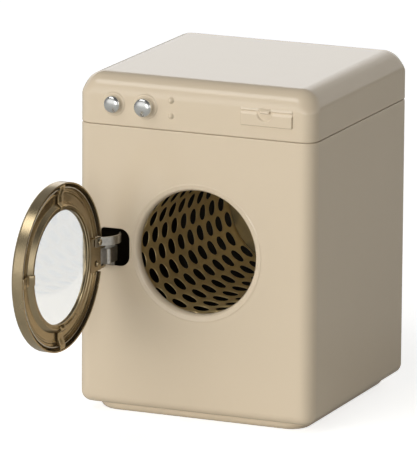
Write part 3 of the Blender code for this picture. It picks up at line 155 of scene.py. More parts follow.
# Door, measured from the hinge axis with the door closed
DOOR_OPEN_ANGLE = radians(93)
DOOR_REACH = AXIS_X - PIVOT_X
DOOR_FACE = -0.0012
RING_DEPTH = 0.0028
LIP_DEPTH = 0.0039
LIP_INSET = 0.0016
CREST_OUT = 0.0014
CREST_DEPTH = 0.0044
LEAF_FACE = DOOR_FACE + 0.0033
LEAF_SHEET = 0.0005
ARM_SHEET = 0.0008
STRAP_SHEET = 0.0006
PIN_RADIUS = 0.0008
RIVET_HOLE = 0.0008
LEAF_BOTTOM = AXIS_Z - 0.00693
LEAF_TOP = LEAF_BOTTOM + 0.0078
STAY_BOTTOM = LEAF_TOP + 0.0010
STAY_TOP = STAY_BOTTOM + 0.0030
RIVET_REACH = 0.0074
RIVET_HEIGHTS = (LEAF_BOTTOM + 0.0026, 0.5 * (STAY_BOTTOM + STAY_TOP))

# Drum
FIRST_ROW = radians(15.7)
ROW_LEAN = radians(37.0)
DRUM_SHEET = 0.0004
DISC_SHEET = 0.0006
DRUM_BACK = DRUM_HIGH.y - 0.0018
DIMPLE = ((0.00042, 0.0), (0.00016, 0.00005), (0.0, 0.00022))

OUT_OF_FRONT = Matrix.Rotation(0.5 * pi, 4, "X")
OUT_OF_BACK = Matrix.Rotation(-0.5 * pi, 4, "X")
DOOR_PLACE = Matrix.Translation((PIVOT_X, PIVOT_Y, 0.0)) @ Matrix.Rotation(-DOOR_OPEN_ANGLE, 4, "Z")
DOOR_SEAT = DOOR_PLACE @ Matrix.Translation((DOOR_REACH, DOOR_FACE, AXIS_Z)) @ OUT_OF_FRONT
IN_DOOR = (Matrix.Translation((DOOR_REACH, DOOR_FACE, AXIS_Z)) @ OUT_OF_FRONT).inverted()
DRUM_SEAT = Matrix.Translation((AXIS_X, 0.0, AXIS_Z)) @ OUT_OF_BACK

# The finishes, and the paint slots of the pieces that wear them
ENAMEL = "stoved_enamel_sprayed"
# Bare tin inside the housing, painted dark grey as the shade of the unlit interior
SHADED_INSIDE = "tinplate_rolled_dull"
BRONZE = "bronze_lacquer_spun_tin"
GOLD = "gold_lacquer_punched_tin"
# The drum back's darker gold is painted shade
SHADED_GOLD = "gold_lacquer_spun_tin"
CHROME = "chrome_plate_polished"
ZINC = "zinc_plate_stamped"
CLEAR = "clear_polystyrene_sheet"
PAINTED = (ENAMEL, SHADED_INSIDE)

# Where the lamps and the camera aim: the middle of the machine
AIM = Vector((0.0, 0.0, 0.06))

# What metal mirrors and what lights the machine from the room, over an even level: turn and rise in degrees,
# the cosines where the light starts and is full, and its strength
WALL_LEVEL = 0.35
WALLS = ((180, 0, -0.1, 0.5, 0.65), (-23, 9, 0.78, 0.97, 1.0), (72, 4, 0.85, 0.98, 1.6))
WINDOW_LEVEL = 0.03
WINDOWS = ((-22, 2, 0.74, 1.0, 5.2), (145, 6, 0.45, 1.0, 1.3))
FLOOR_GLOW = 0.72
FLOOR_MIRRORED = 0.05


def linear(code):
    """An sRGB hex value as linear red, green and blue."""
    shares = [int(code[place:place + 2], 16) / 255 for place in (1, 3, 5)]
    return tuple(s / 12.92 if s <= 0.04045 else ((s + 0.055) / 1.055) ** 2.4 for s in shares)


def length(name, description, default):
    """A length that a user can change."""
    return bpy.props.FloatProperty(
        name=name, description=description, default=default, min=0.0, precision=5, unit="LENGTH"
    )


def colour(name, description, code):
    """A colour that a user can change."""
    return bpy.props.FloatVectorProperty(
        name=name, description=description, default=linear(code), size=3, min=0.0, max=1.0, subtype="COLOR"
    )


class HousingSizes(bpy.types.PropertyGroup):
    """Sizes of the pressed tin housing."""
    sheet: length("Sheet", "Thickness of the housing's tin", 0.0007)
    corner_radius: length("Corner radius", "Radius of the upright corners", 0.005)
    edge_radius: length("Top edge radius", "Radius of the cover's top edges", 0.0075)
    bead_height: length("Bead height", "How far the porthole's bead stands proud", 0.00016)
    drawer_width: length("Drawer width", "Width of the pressed drawer front", 0.0194)
    drawer_height: length("Drawer height", "Height of the pressed drawer front", 0.0050)
    drawer_relief: length("Drawer relief", "How far the drawer front is pressed out", 0.0007)
    pip_radius: length("Pip radius", "Radius of the two pressed pips", 0.00085)


class DoorSizes(bpy.types.PropertyGroup):
    """Sizes of the round door."""
    radius: length("Door radius", "Outer radius of the door", 0.5 * (BEZEL_HIGH.z - BEZEL_LOW.z))
    thickness: length("Door thickness", "Depth of the outer ring", 0.0046)
    window_radius: length("Window radius", "Radius of the clear opening", 0.01975)
    ring_sheet: length("Outer sheet", "Thickness of the outer ring's tin", 0.0005)
    liner_sheet: length("Inner sheet", "Thickness of the inner ring's tin", 0.0004)
    window_sheet: length("Window thickness", "Thickness of the clear disc", 0.0004)


class DrumSizes(bpy.types.PropertyGroup):
    """Sizes of the perforated drum."""
    radius: length("Drum radius", "Outer radius of the drum", 0.0236)
    hole_radius: length("Hole radius", "Radius of the punched holes", 0.00275)
    hole_pitch: length("Hole pitch", "Distance between holes along a row", 0.00826)
    rows: bpy.props.IntProperty(name="Rows", description="Rows of holes round the drum", default=22, min=8, step=2)
    row_holes: bpy.props.IntProperty(name="Holes in a row", description="Holes along the longer rows", default=10,
                                     min=2)


class Finishes(bpy.types.PropertyGroup):
    """Colours of the finishes."""
    enamel: colour("Enamel", "Cream stoved enamel of the housing", "#DAC9AF")
    bronze: colour("Bronze lacquer", "Bronze lacquered tin of the door", "#B8A684")
    gold: colour("Gold lacquer", "Gold lacquered tin of the drum", "#EDD49B")
    chrome: colour("Chrome", "Chrome plate of the knobs", "#DFDFDC")
    zinc: colour("Zinc", "Zinc plate of the hinge and the screws", "#C4C0B8")
    clear: colour("Window", "Tint of the clear window", "#F0F1F0")
    # The inside's dark tone is painted shade of the housing's unlit interior, laid over bare tin
    inside: colour("Inside", "Dull tin inside the housing", "#4A443B")
    backdrop: colour("Backdrop", "The pale floor", "#E0E0DD")


class ToyWasherSettings(bpy.types.PropertyGroup):
    """All that a user can change."""
    housing: bpy.props.PointerProperty(type=HousingSizes, name="Housing", description="Sizes of the housing")
    door: bpy.props.PointerProperty(type=DoorSizes, name="Door", description="Sizes of the door")
    drum: bpy.props.PointerProperty(type=DrumSizes, name="Drum", description="Sizes of the drum")
    finish: bpy.props.PointerProperty(type=Finishes, name="Finishes", description="Colours of the finishes")


def chosen(group):
    """What the user has chosen in one group of settings."""
    return getattr(bpy.context.scene.toy_washer, group)


# Paths and outlines

def limited(share):
    """A share kept between 0 and 1."""
    return min(max(share, 0.0), 1.0)


def direction_of(turn, rise):
    """The direction at a turn to the right of the front and a rise, in degrees."""
    level = cos(radians(rise))
    return Vector((sin(radians(turn)) * level, -cos(radians(turn)) * level, sin(radians(rise))))


def arc(radius, start, end, steps, centre=(0.0, 0.0)):
    """Points along an arc, both ends included."""
    turns = [start + (end - start) * step / steps for step in range(steps + 1)]
    return [(centre[0] + radius * cos(turn), centre[1] + radius * sin(turn)) for turn in turns]


def circle(radius, steps, centre=(0.0, 0.0)):
    """Points round a circle, anticlockwise."""
    return arc(radius, 0.0, 2.0 * pi, steps, centre)[:-1]


def rounded(points, index, radius, steps=BEND_STEPS):
    """An open path with one of its corners rounded."""
    before, corner, after = (Vector(points[index + side]) for side in (-1, 0, 1))
    back = (before - corner).normalized()
    ahead = (after - corner).normalized()
    half = 0.5 * back.angle(ahead)
    if half > 0.49 * pi:
        return points
    room = 0.48 * min((before - corner).length, (after - corner).length)
    radius = min(radius, room * tan(half))
    centre = corner + (back + ahead).normalized() * (radius / sin(half))
    start = corner + back * (radius / tan(half)) - centre
    end = corner + ahead * (radius / tan(half)) - centre
    first = atan2(start.y, start.x)
    bend = arc(radius, first, first - start.angle_signed(end), steps, centre)
    return points[:index] + bend + points[index + 1:]


def softened(points, radius, steps=BEND_STEPS):
    """An open path with every inner corner rounded."""
    for index in range(len(points) - 2, 0, -1):
        points = rounded(points, index, radius, steps)
    return points


def beside(points, distance):
    """The path that runs beside an open path, at a distance to its left."""
    path = [Vector(point) for point in points]
    result = []
    for index, point in enumerate(path):
        normals = []
        for start, end in ((index - 1, index), (index, index + 1)):
            if 0 <= start and end < len(path):
                along = (path[end] - path[start]).normalized()
                normals.append(Vector((-along.y, along.x)))
        middle = (normals[0] + normals[-1]).normalized()
        result.append(tuple(point + middle * (distance / middle.dot(normals[0]))))
    return result


def strip(points, thickness):
    """The outline of a bent strip about its middle line."""
    return beside(points, 0.5 * thickness) + list(reversed(beside(points, -0.5 * thickness)))


def rounded_rectangle(half_x, half_y, radius, steps=CORNER_STEPS, centre=(0.0, 0.0)):
    """Points of a rectangle with round corners, anticlockwise from the right of the back."""
    points = []
    for side_x, side_y, start in ((1, 1, 0.0), (-1, 1, 0.5 * pi), (-1, -1, pi), (1, -1, 1.5 * pi)):
        middle = (centre[0] + side_x * (half_x - radius), centre[1] + side_y * (half_y - radius))
        points += arc(radius, start, start + 0.5 * pi, steps, middle)
    return points


def eased(share):
    """A share from 0 to 1 that starts and ends gently."""
    share = limited(share)
    return share * share * (3.0 - 2.0 * share)


def quarter(steps):
    """The sine and the cosine at each step of a quarter turn."""
    turns = [0.5 * pi * step / steps for step in range(steps + 1)]
    return [(sin(turn), cos(turn)) for turn in turns]


def dome(radius, rise, base, steps=8):
    """Half a dome's outline, from its crown down to its rim at a base height."""
    return [(radius * sine, base + rise * cosine) for sine, cosine in quarter(steps)]


def washer(inner, outer, start, end, ease=0.0):
    """A washer's outline between two heights, with its outer edges eased."""
    step = ease if end > start else -ease
    return list(dict.fromkeys([(inner, start), (outer - ease, start), (outer, start + step), (outer, end - step),
                               (outer - ease, end), (inner, end)]))


# Meshes

def as_mesh(form):
    """A finished mesh from an edit mesh."""
    mesh = bpy.data.meshes.new("mesh")
    form.to_mesh(mesh)
    form.free()
    return mesh


def edge_loop(form, points):
    """A closed loop of points with its edges."""
    ring = [form.verts.new(point) for point in points]
    return ring, [form.edges.new(pair) for pair in zip(ring, ring[1:] + ring[:1])]


def bridge(form, first, second, open_sides=()):
    """Faces between two loops of equal count, without the open sides: 0 is the back, 2 the front."""
    corner = CORNER_STEPS + 1
    for index in range(len(first)):
        after = (index + 1) % len(first)
        if index % corner != CORNER_STEPS or index // corner not in open_sides:
            form.faces.new((first[index], first[after], second[after], second[index]))


def collar(form, loops):
    """A skin through loops of points. Gives the edges of the first loop."""
    ring, edges = edge_loop(form, loops[0])
    for points in loops[1:]:
        following = [form.verts.new(point) for point in points]
        bridge(form, ring, following)
        ring = following
    return edges


def turned_out(form, way):
    """Faces turned outward, judged by the one that lies furthest in a direction."""
    bmesh.ops.recalc_face_normals(form, faces=form.faces)
    way = Vector(way)
    furthest = max(form.faces, key=lambda face: face.calc_center_median().dot(way))
    if furthest.normal.dot(way) < 0:
        bmesh.ops.reverse_faces(form, faces=form.faces)


def pressed(form, rings, cap, way):
    """The mesh of a pressed skin: rings joined in order and closed by a cap that faces outward one way."""
    for lower, upper in zip(rings, rings[1:]):
        bridge(form, lower, upper)
    form.faces.new(cap)
    turned_out(form, way)
    return as_mesh(form)


def with_finishes(mesh, finishes):
    """A mesh with its finishes added."""
    for finish in finishes:
        mesh.materials.append(finish_named(finish))
    return mesh


def spun(outline, steps=RING_STEPS, bare=()):
    """A mesh turned about Z from a closed outline. The numbered outline edges get the second finish."""
    form = bmesh.new()
    rings = []
    for radius, height in outline:
        turns = [2.0 * pi * step / steps for step in range(steps if radius > TINY else 1)]
        rings.append([form.verts.new((radius * cos(t), radius * sin(t), height)) for t in turns])
    for number, (lower, upper) in enumerate(zip(rings, rings[1:] + rings[:1])):
        for step in range(steps):
            after = (step + 1) % steps
            corners = [lower[step % len(lower)], lower[after % len(lower)]]
            corners += [upper[after % len(upper)], upper[step % len(upper)]]
            corners = list(dict.fromkeys(corners))
            if len(corners) > 2:
                form.faces.new(corners).material_index = int(number in bare)
    bmesh.ops.recalc_face_normals(form, faces=form.faces)
    return as_mesh(form)


def plate(outline, thickness, holes=(), lift=0.0):
    """A flat piece: an outline in X and Y, with its thickness along Z about a height."""
    form = bmesh.new()
    edges = []
    for loop in (outline, *holes):
        edges += edge_loop(form, [(x, y, lift - 0.5 * thickness) for x, y in loop])[1]
    bmesh.ops.triangle_fill(form, edges=edges, use_beauty=True)
    grown = bmesh.ops.extrude_face_region(form, geom=list(form.faces))["geom"]
    raised = [item for item in grown if isinstance(item, bmesh.types.BMVert)]
    bmesh.ops.translate(form, verts=raised, vec=(0.0, 0.0, thickness))
    bmesh.ops.recalc_face_normals(form, faces=form.faces)
    return as_mesh(form)


def block(low, high):
    """A cutting block between two corners."""
    form = bmesh.new()
    for vertex in bmesh.ops.create_cube(form, size=1.0)["verts"]:
        vertex.co = [low[axis] + (vertex.co[axis] + 0.5) * (high[axis] - low[axis]) for axis in range(3)]
    return as_mesh(form)


def rods(radius, middles, half_length=THROUGH, steps=SMALL_STEPS):
    """Round cutters along Z about their middles."""
    form = bmesh.new()
    for middle in middles:
        made = bmesh.ops.create_cone(
            form, cap_ends=True, segments=steps, radius1=radius, radius2=radius, depth=2.0 * half_length
        )
        bmesh.ops.translate(form, verts=made["verts"], vec=middle)
    return as_mesh(form)


def gathered(parts):
    """Several meshes, each with its place, as one."""
    form = bmesh.new()
    for mesh, place in parts:
        mesh.transform(place)
        form.from_mesh(mesh)
        bpy.data.meshes.remove(mesh)
    return as_mesh(form)


def placed(name, data, place=Matrix()):
    """An object in the scene, in its place."""
    made = bpy.data.objects.new(name, data)
    bpy.context.scene.collection.objects.link(made)
    made.matrix_world = place
    return made


def modified(mesh, kind, **settings):
    """A mesh with one modifier applied."""
    holder = placed("holder", mesh)
    modifier = holder.modifiers.new("step", kind)
    for name, value in settings.items():
        setattr(modifier, name, value)
    evaluated = holder.evaluated_get(bpy.context.evaluated_depsgraph_get())
    result = bpy.data.meshes.new_from_object(evaluated)
    bpy.data.objects.remove(holder)
    bpy.data.meshes.remove(mesh)
    return result


def thickened(mesh, thickness, finishes=()):
    """An open surface with its sheet. The second finish covers the side that the sheet grows to."""
    return modified(with_finishes(mesh, finishes), "SOLIDIFY", thickness=thickness, offset=-1.0,
                    use_even_offset=True, material_offset=1)


def carved(mesh, cutter, place=Matrix()):
    """A mesh with a cutter taken out of it."""
    tool = placed("cutter", cutter, place)
    bpy.context.view_layer.update()
    result = modified(mesh, "BOOLEAN", operation="DIFFERENCE", object=tool, solver="EXACT")
    bpy.data.objects.remove(tool)
    bpy.data.meshes.remove(cutter)
    return result


def set_piece(name, mesh, finishes, body, stands_for, place=Matrix(), bevel=0.0, flat=False):
    """A named piece in its place, riding on a body of the frame in the stead of a CAD node."""
    sides = [min(polygon.material_index, len(finishes) - 1) for polygon in mesh.polygons]
    mesh.name = name
    mesh.materials.clear()
    with_finishes(mesh, finishes).polygons.foreach_set("material_index", sides)
    mesh.shade_smooth()
    mesh.set_sharp_from_angle(angle=SMOOTH_ANGLE)
    piece = placed(name, mesh, place)
    if bevel:
        edge = piece.modifiers.new("eased edges", "BEVEL")
        edge.width = bevel
        edge.segments = 2
        edge.limit_method = "ANGLE"
        edge.angle_limit = SMOOTH_ANGLE
    if bevel or flat:
        weighted = piece.modifiers.new("flat faces stay flat", "WEIGHTED_NORMAL")
        weighted.keep_sharp = True
    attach(piece, body)
    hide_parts(stands_for)


# Finishes

def node(tree, kind, inputs=(), **settings):
    """A new node of a kind, or a node that is there, with its settings and with each input's value or link."""
    made = tree.nodes.new(kind) if isinstance(kind, str) else kind
    for name, value in settings.items():
        setattr(made, name, value)
    for socket, value in dict(inputs).items():
        if isinstance(value, bpy.types.NodeSocket):
            tree.links.new(value, made.inputs[socket])
        else:
            made.inputs[socket].default_value = value
    return made


def repeats(millimetres):
    """The texture scale at which one feature is this wide."""
    return 1000.0 / millimetres


def shade(rgb, factor):
    """A colour made darker or lighter."""
    return (*(min(channel * factor, 1.0) for channel in rgb), 1.0)


def patterned(name, tint, width=0.0, soft=None, tones=(), gloss=0.0, metal=0.0, relief=(), lines="", extra=()):
    """A finish: one pattern in its tone and gloss and a finer one raised, with their widths in millimetres."""
    rgb = getattr(chosen("finish"), tint)
    material = bpy.data.materials.new(name)
    material.use_nodes = True
    tree = material.node_tree
    place = node(tree, "ShaderNodeTexCoord").outputs["Object"]
    inputs = {"Base Color": (*rgb, 1.0), "Roughness": gloss, "Metallic": metal, **dict(extra)}
    if tones:
        scale = {"Vector": place, "Scale": repeats(width)}
        if soft:
            shares = node(tree, "ShaderNodeTexNoise", scale | soft).outputs["Fac"]
        else:
            shares = node(tree, "ShaderNodeTexVoronoi", scale).outputs["Distance"]
        dark, light = (shade(rgb, tone) for tone in tones)
        mixed = node(tree, "ShaderNodeMix", {"Factor": shares, "A": dark, "B": light}, data_type="RGBA")
        inputs["Base Color"] = mixed.outputs["Result"]
    if isinstance(gloss, tuple):
        ranged = node(tree, "ShaderNodeMapRange", {"Value": shares, "To Min": gloss[0], "To Max": gloss[1]})
        inputs["Roughness"] = ranged.outputs["Result"]
    if relief:
        fine_width, detail, strength, distance = relief
        line = {"Vector": place}
        if lines == "spun":
            flat = node(tree, "ShaderNodeVectorMath", {0: place, 1: (1.0, 1.0, 0.0)}, operation="MULTIPLY")
            reach = node(tree, "ShaderNodeVectorMath", {0: flat.outputs["Vector"]}, operation="LENGTH")
            line = {"W": reach.outputs["Value"]}
        elif lines == "rolled":
            line = {"W": node(tree, "ShaderNodeSeparateXYZ", {"Vector": place}).outputs["Z"]}
        marks = node(tree, "ShaderNodeTexNoise", line | {"Scale": repeats(fine_width), "Detail": detail},
                     noise_dimensions="1D" if lines else "3D")
        bump = node(tree, "ShaderNodeBump",
                    {"Height": marks.outputs["Fac"], "Strength": strength, "Distance": distance})
        inputs["Normal"] = bump.outputs["Normal"]
    node(tree, tree.nodes["Principled BSDF"], inputs)
    return material


# Turning marks are finer than 0.1 mm on the real sheet. They are drawn 0.45 mm apart to show at all.
LACQUER = {"width": 6.0, "soft": {"Detail": 4.0, "Roughness": 0.6}, "tones": (0.78, 1.12),
           "relief": (0.45, 2.0, 0.22, 0.00006)}
FINISHES = {
    # Stoved enamel on pressed tin, sprayed: an even gloss with faint orange peel and slight mottling
    ENAMEL: {"tint": "enamel", "width": 22.0, "soft": {"Detail": 3.0}, "tones": (0.985, 1.01),
             "gloss": (0.13, 0.17), "relief": (1.4, 1.0, 0.03, 0.0001)},
    # Tinplate left bare inside, dull, and painted dark grey as the shade of the unlit interior, with soft smears
    SHADED_INSIDE: {"tint": "inside", "width": 9.0, "soft": {"Detail": 4.0}, "tones": (0.7, 1.15), "gloss": 0.55,
             "metal": 0.6},
    # Bronze lacquer on tin spun over a former: a warm metal with fine turning lines and darker pools
    BRONZE: {**LACQUER, "tint": "bronze", "gloss": (0.18, 0.32), "metal": 0.9, "lines": "spun"},
    # Gold lacquer on rolled and punched tin: a warm, duller metal with fine lines round the roll
    GOLD: {**LACQUER, "tint": "gold", "gloss": (0.30, 0.44), "metal": 0.5, "lines": "rolled"},
    # The same lacquer on a spun disc, duller, with fine turning lines; its dark tone is painted shade of the drum's
    # back
    SHADED_GOLD: {**LACQUER, "tint": "gold", "tones": (0.312, 0.448), "gloss": (0.36, 0.50), "metal": 0.5,
                "lines": "spun"},
    # Chrome plate on turned brass, polished: a near mirror with faint finger smudges
    CHROME: {"tint": "chrome", "width": 2.5, "soft": {"Detail": 3.0}, "tones": (0.93, 1.02),
             "gloss": (0.2, 0.3), "metal": 1.0},
    # Zinc plate on stamped steel: a soft grey metal with cloudy spangle and drawn scratches
    ZINC: {"tint": "zinc", "width": 1.1, "tones": (0.82, 1.1), "gloss": (0.3, 0.44), "metal": 1.0,
           "relief": (0.5, 3.0, 0.12, 0.00005)},
    # Clear polystyrene, stamped from sheet: glass clear, with the sheet's very faint waviness
    CLEAR: {"tint": "clear", "gloss": 0.03, "relief": (7.0, 2.0, 0.002, 0.0001),
            "extra": {"Transmission Weight": 1.0, "IOR": 1.59}},
}


def finish_named(name):
    """One of the machine's finishes, made the first time that it is asked for."""
    return bpy.data.materials.get(name) or patterned(name, **FINISHES[name])


# Housing shapes

def ring_of(form, half_x, half_y, radius, height):
    """One round-cornered ring of points."""
    return [form.verts.new((x, y, height)) for x, y in rounded_rectangle(half_x, half_y, radius)]


def side_edges(form, lower, upper, side):
    """The four edges round one open side between two rings."""
    start = side * (CORNER_STEPS + 1) + CORNER_STEPS
    end = (start + 1) % len(lower)
    corners = [lower[start], lower[end], upper[end], upper[start]]
    pairs = zip(corners, corners[1:] + corners[:1])
    return [form.edges.get(pair) or form.edges.new(pair) for pair in pairs]


def housing_ring(form, inset, height, radius):
    """A ring of the housing at a distance inside its outer faces."""
    return ring_of(form, RIGHT - inset, BACK - inset, max(radius, LEAST_RADIUS), height)


def bottom_edge(form, inset, height, radius, corner):
    """The rings of a bottom edge that curls up into the walls."""
    rings = []
    for sine, cosine in quarter(BEND_STEPS + 2):
        inside = radius * (1.0 - sine)
        rings.append(housing_ring(form, inset + inside, height + radius * (1.0 - cosine), corner - inside))
    return rings


def smooth_path(points, steps=4):
    """A smooth path that runs through all its points."""
    path = [Vector(point) for point in points]
    path = [2.0 * path[0] - path[1]] + path + [2.0 * path[-1] - path[-2]]
    result = []
    for a, b, c, d in zip(path, path[1:], path[2:], path[3:]):
        for step in range(steps):
            t = step / steps
            result.append(0.5 * (2.0 * b + (c - a) * t + (2.0 * a - 5.0 * b + 4.0 * c - d) * t * t
                                 + (3.0 * b - a - 3.0 * c + d) * t * t * t))
    return [tuple(point) for point in result] + [tuple(path[-2])]


def slot_outline(grow=0.0):
    """The hinge slot's outline in X and Z."""
    left = PIVOT_X - 0.0015
    right = AXIS_X - porthole_radius() - BEAD_WIDTH - 0.0006
    bottom = LEAF_BOTTOM - GAP
    top = STAY_TOP + 0.0010
    wide = 0.0035
    narrow = 0.0012
    outline = []
    for turn, radius, steps, x, z in (
        (-0.5, wide, 10, right - wide, bottom + wide),
        (0.0, wide, 10, right - wide, top - wide),
        (0.5, narrow, 8, left + narrow, top - narrow),
        (1.0, narrow, 8, left + narrow, bottom + narrow),
    ):
        outline += arc(radius + grow, turn * pi, (turn + 0.5) * pi, steps, (x, z))
    return outline


def porthole_radius():
    """The radius of the porthole inside its bead."""
    return chosen("door").radius - 0.00755


def back_opening():
    """The half width, half height and middle of the opening in the back wall."""
    half_x = 0.5 * (PANEL_HIGH.x - PANEL_LOW.x) - PANEL_OVERLAP
    half_z = 0.5 * (PANEL_HIGH.z - PANEL_LOW.z) - PANEL_OVERLAP
    return half_x, half_z, 0.5 * (PANEL_HIGH.z + PANEL_LOW.z)


def back_screw_places():
    """The four screws of the back panel, in X and Z."""
    half_x, half_z, middle = back_opening()
    margin = 0.0018
    return [(x * (half_x + margin), middle + z * (half_z + margin)) for x in (-1, 1) for z in (-1, 1)]


def cover_screw_places():
    """The two screws through the cover's back edge, in X and Z."""
    return [(side * COVER_SCREW_X, COVER_BOTTOM + 0.0018) for side in (-1, 1)]


def tab_places():
    """The base pan's tabs: the turn of each side about Z, the distance along it, and where its wall is."""
    return [(Matrix.Rotation(wall * 0.5 * pi, 4, "Z"), side * TAB_SPACING, BACK if wall % 2 else RIGHT)
            for wall in range(4) for side in (-0.5, 0.5)]


def body_surface(sizes):
    """The drawn body's outer skin, with its porthole bead, hinge slot and back opening."""
    form = bmesh.new()
    corner = sizes.corner_radius
    rings = [housing_ring(form, FLOOR_EDGE_WIDTH, FLOOR, 0.0)]
    rings += bottom_edge(form, 0.0, FLOOR, FLOOR_EDGE_RADIUS, corner)
    wall = len(rings) - 1
    for sine, cosine in quarter(3):
        inset = SHOULDER * (1.0 - cosine)
        rings.append(housing_ring(form, inset, SEAM - SHOULDER * (1.0 - sine), corner - inset))
    step_in = sizes.sheet + GAP
    rings += [housing_ring(form, step_in, height, corner - step_in) for height in (SEAM, LIP_TOP)]
    for number, (lower, upper) in enumerate(zip(rings, rings[1:])):
        bridge(form, lower, upper, (0, 2) if number == wall else ())
    inner = porthole_radius()
    profile = [(share, sizes.bead_height * up) for share, up in BEAD_RISE]
    profile += [(share, -FLANGE_DEPTH * down) for share, down in RIM_ROLL]
    loops = []
    for share, rise in smooth_path(profile, 3) + [(0.0, -FLANGE_DEPTH)]:
        points = circle(inner + share * BEAD_WIDTH, RING_STEPS, (AXIS_X, AXIS_Z))
        loops.append([(x, FRONT - rise, z) for x, z in points])
    edges = side_edges(form, rings[wall], rings[wall + 1], 2) + collar(form, loops)
    loops = [[(x, FRONT + SLOT_EDGE * (1.0 - cosine), z) for x, z in slot_outline(SLOT_EDGE * (1.0 - sine))]
             for sine, cosine in quarter(3)]
    bmesh.ops.triangle_fill(form, edges=edges + collar(form, loops), use_beauty=True)
    half_x, half_z, middle = back_opening()
    edges = side_edges(form, rings[wall], rings[wall + 1], 0)
    edges += collar(form, [[(x, BACK, middle + z) for x, z in rounded_rectangle(half_x, half_z, 0.004)]])
    bmesh.ops.triangle_fill(form, edges=edges, use_beauty=True)
    turned_out(form, (-1.0, 0.0, 0.0))
    return as_mesh(form)


def make_body():
    """The drawn body: four walls, floor edge, shoulder and lip."""
    sizes = chosen("housing")
    mesh = thickened(body_surface(sizes), sizes.sheet, PAINTED)
    places = [(x, -z, BACK) for x, z in back_screw_places() + cover_screw_places()]
    mesh = carved(mesh, rods(SHANK_RADIUS + GAP, places), OUT_OF_BACK)
    half = 0.5 * sizes.sheet + GAP
    half_width = 0.5 * TAB_WIDTH + GAP
    slots = []
    for turn, offset, wall in tab_places():
        reach = wall - PAN_INSET - 0.5 * sizes.sheet
        cutter = block((reach - half, offset - half_width, FLOOR - THROUGH),
                       (reach + half, offset + half_width, FLOOR + sizes.sheet + GAP))
        slots.append((cutter, turn))
    set_piece("drawn_body", carved(mesh, gathered(slots)), PAINTED, "housing", "body_shell", flat=True)


def edge_inset(height, radius):
    """How far the cover's rounding lies inside its walls at a height."""
    rise = max(height - (TOP - radius), 0.0)
    return radius - sqrt(max(radius * radius - rise * rise, 0.0))


def cover_corner(height, sizes):
    """The radius of the cover's corner at a height: it swells and then closes towards the top."""
    angle = asin(limited((height - (TOP - sizes.edge_radius)) / sizes.edge_radius))
    closing = sizes.edge_radius * cos(angle)
    swelling = sizes.corner_radius + EDGE_SWELL * sizes.edge_radius * sin(angle)
    blend = 0.0009
    mixed = 0.5 * (closing + swelling - sqrt((closing - swelling) ** 2 + blend * blend))
    return max(mixed, LEAST_RADIUS)


def box_distance(x, z, middle_x, middle_z, half_x, half_z, radius):
    """The distance from a round-cornered box, negative inside it."""
    across = abs(x - middle_x) - half_x + radius
    along = abs(z - middle_z) - half_z + radius
    outside = hypot(max(across, 0.0), max(along, 0.0))
    return outside + min(max(across, along), 0.0) - radius


def pressed_front(x, y, z, sizes):
    """Where the cover's front skin lies once the collars, pips and drawer are pressed into it."""
    for knob_x, radius in zip(KNOB_X, KNOB_RADII):
        beyond = hypot(x - knob_x, z - KNOB_Z) - radius - COLLAR_WIDTH
        y += eased(1.0 - beyond / COLLAR_SLOPE) * (FRONT - COLLAR_HEIGHT - y)
    for side in (-0.5, 0.5):
        near = hypot(x - PIP_X, z - PIP_Z - side * PIP_SPACING) / sizes.pip_radius
        if near < PIP_FOOT:
            dome_rise = sqrt(1.0 - near * near) if near < 0.8 else 0.6 * eased((PIP_FOOT - near) / 0.55)
            y = min(y, FRONT - sizes.pip_radius * dome_rise)
    half_x = 0.5 * sizes.drawer_width
    half_z = 0.5 * sizes.drawer_height
    top = DRAWER_Z + half_z
    # The drawer's top edge, the rail and the pull slope gently where they face up, and drop steeply below
    panel = box_distance(x, z, DRAWER_X, DRAWER_Z, half_x, half_z, DRAWER_CORNER)
    rise = limited(min(eased(-panel / PRESS_EDGE), (top - z) / DRAWER_SLOPE))
    scoop = SCOOP_RADIUS - hypot(x - PULL_X, z - top + SCOOP_DROP)
    face = sizes.drawer_relief - SCOOP_DEPTH * eased(scoop / SCOOP_SLOPE)
    y = min(y, y + rise * (FRONT - face - y))
    ends = eased((half_x - abs(x - DRAWER_X)) / PRESS_EDGE)
    rise = limited(min((top + RAIL_TOP - z) / RAIL_SLOPE, (z - top - RAIL_BOTTOM) / (0.6 * PRESS_EDGE)))
    y = min(y, y + ends * rise * (FRONT - RAIL_RELIEF - y))
    drop = limited((top + RAIL_TOP - z) / PULL_DROP)
    edge = min(PULL_HALF - PULL_TAPER * drop - abs(x - PULL_X), z - top - RAIL_TOP + PULL_DROP)
    return min(y, y + eased(edge / PRESS_EDGE) * drop * (FRONT - PULL_RELIEF - y))


def spaced(start, end, step):
    """Numbers from start to end, no further apart than a step, with the end left out."""
    count = max(1, round((end - start) / step))
    return [start + (end - start) * index / count for index in range(count)]


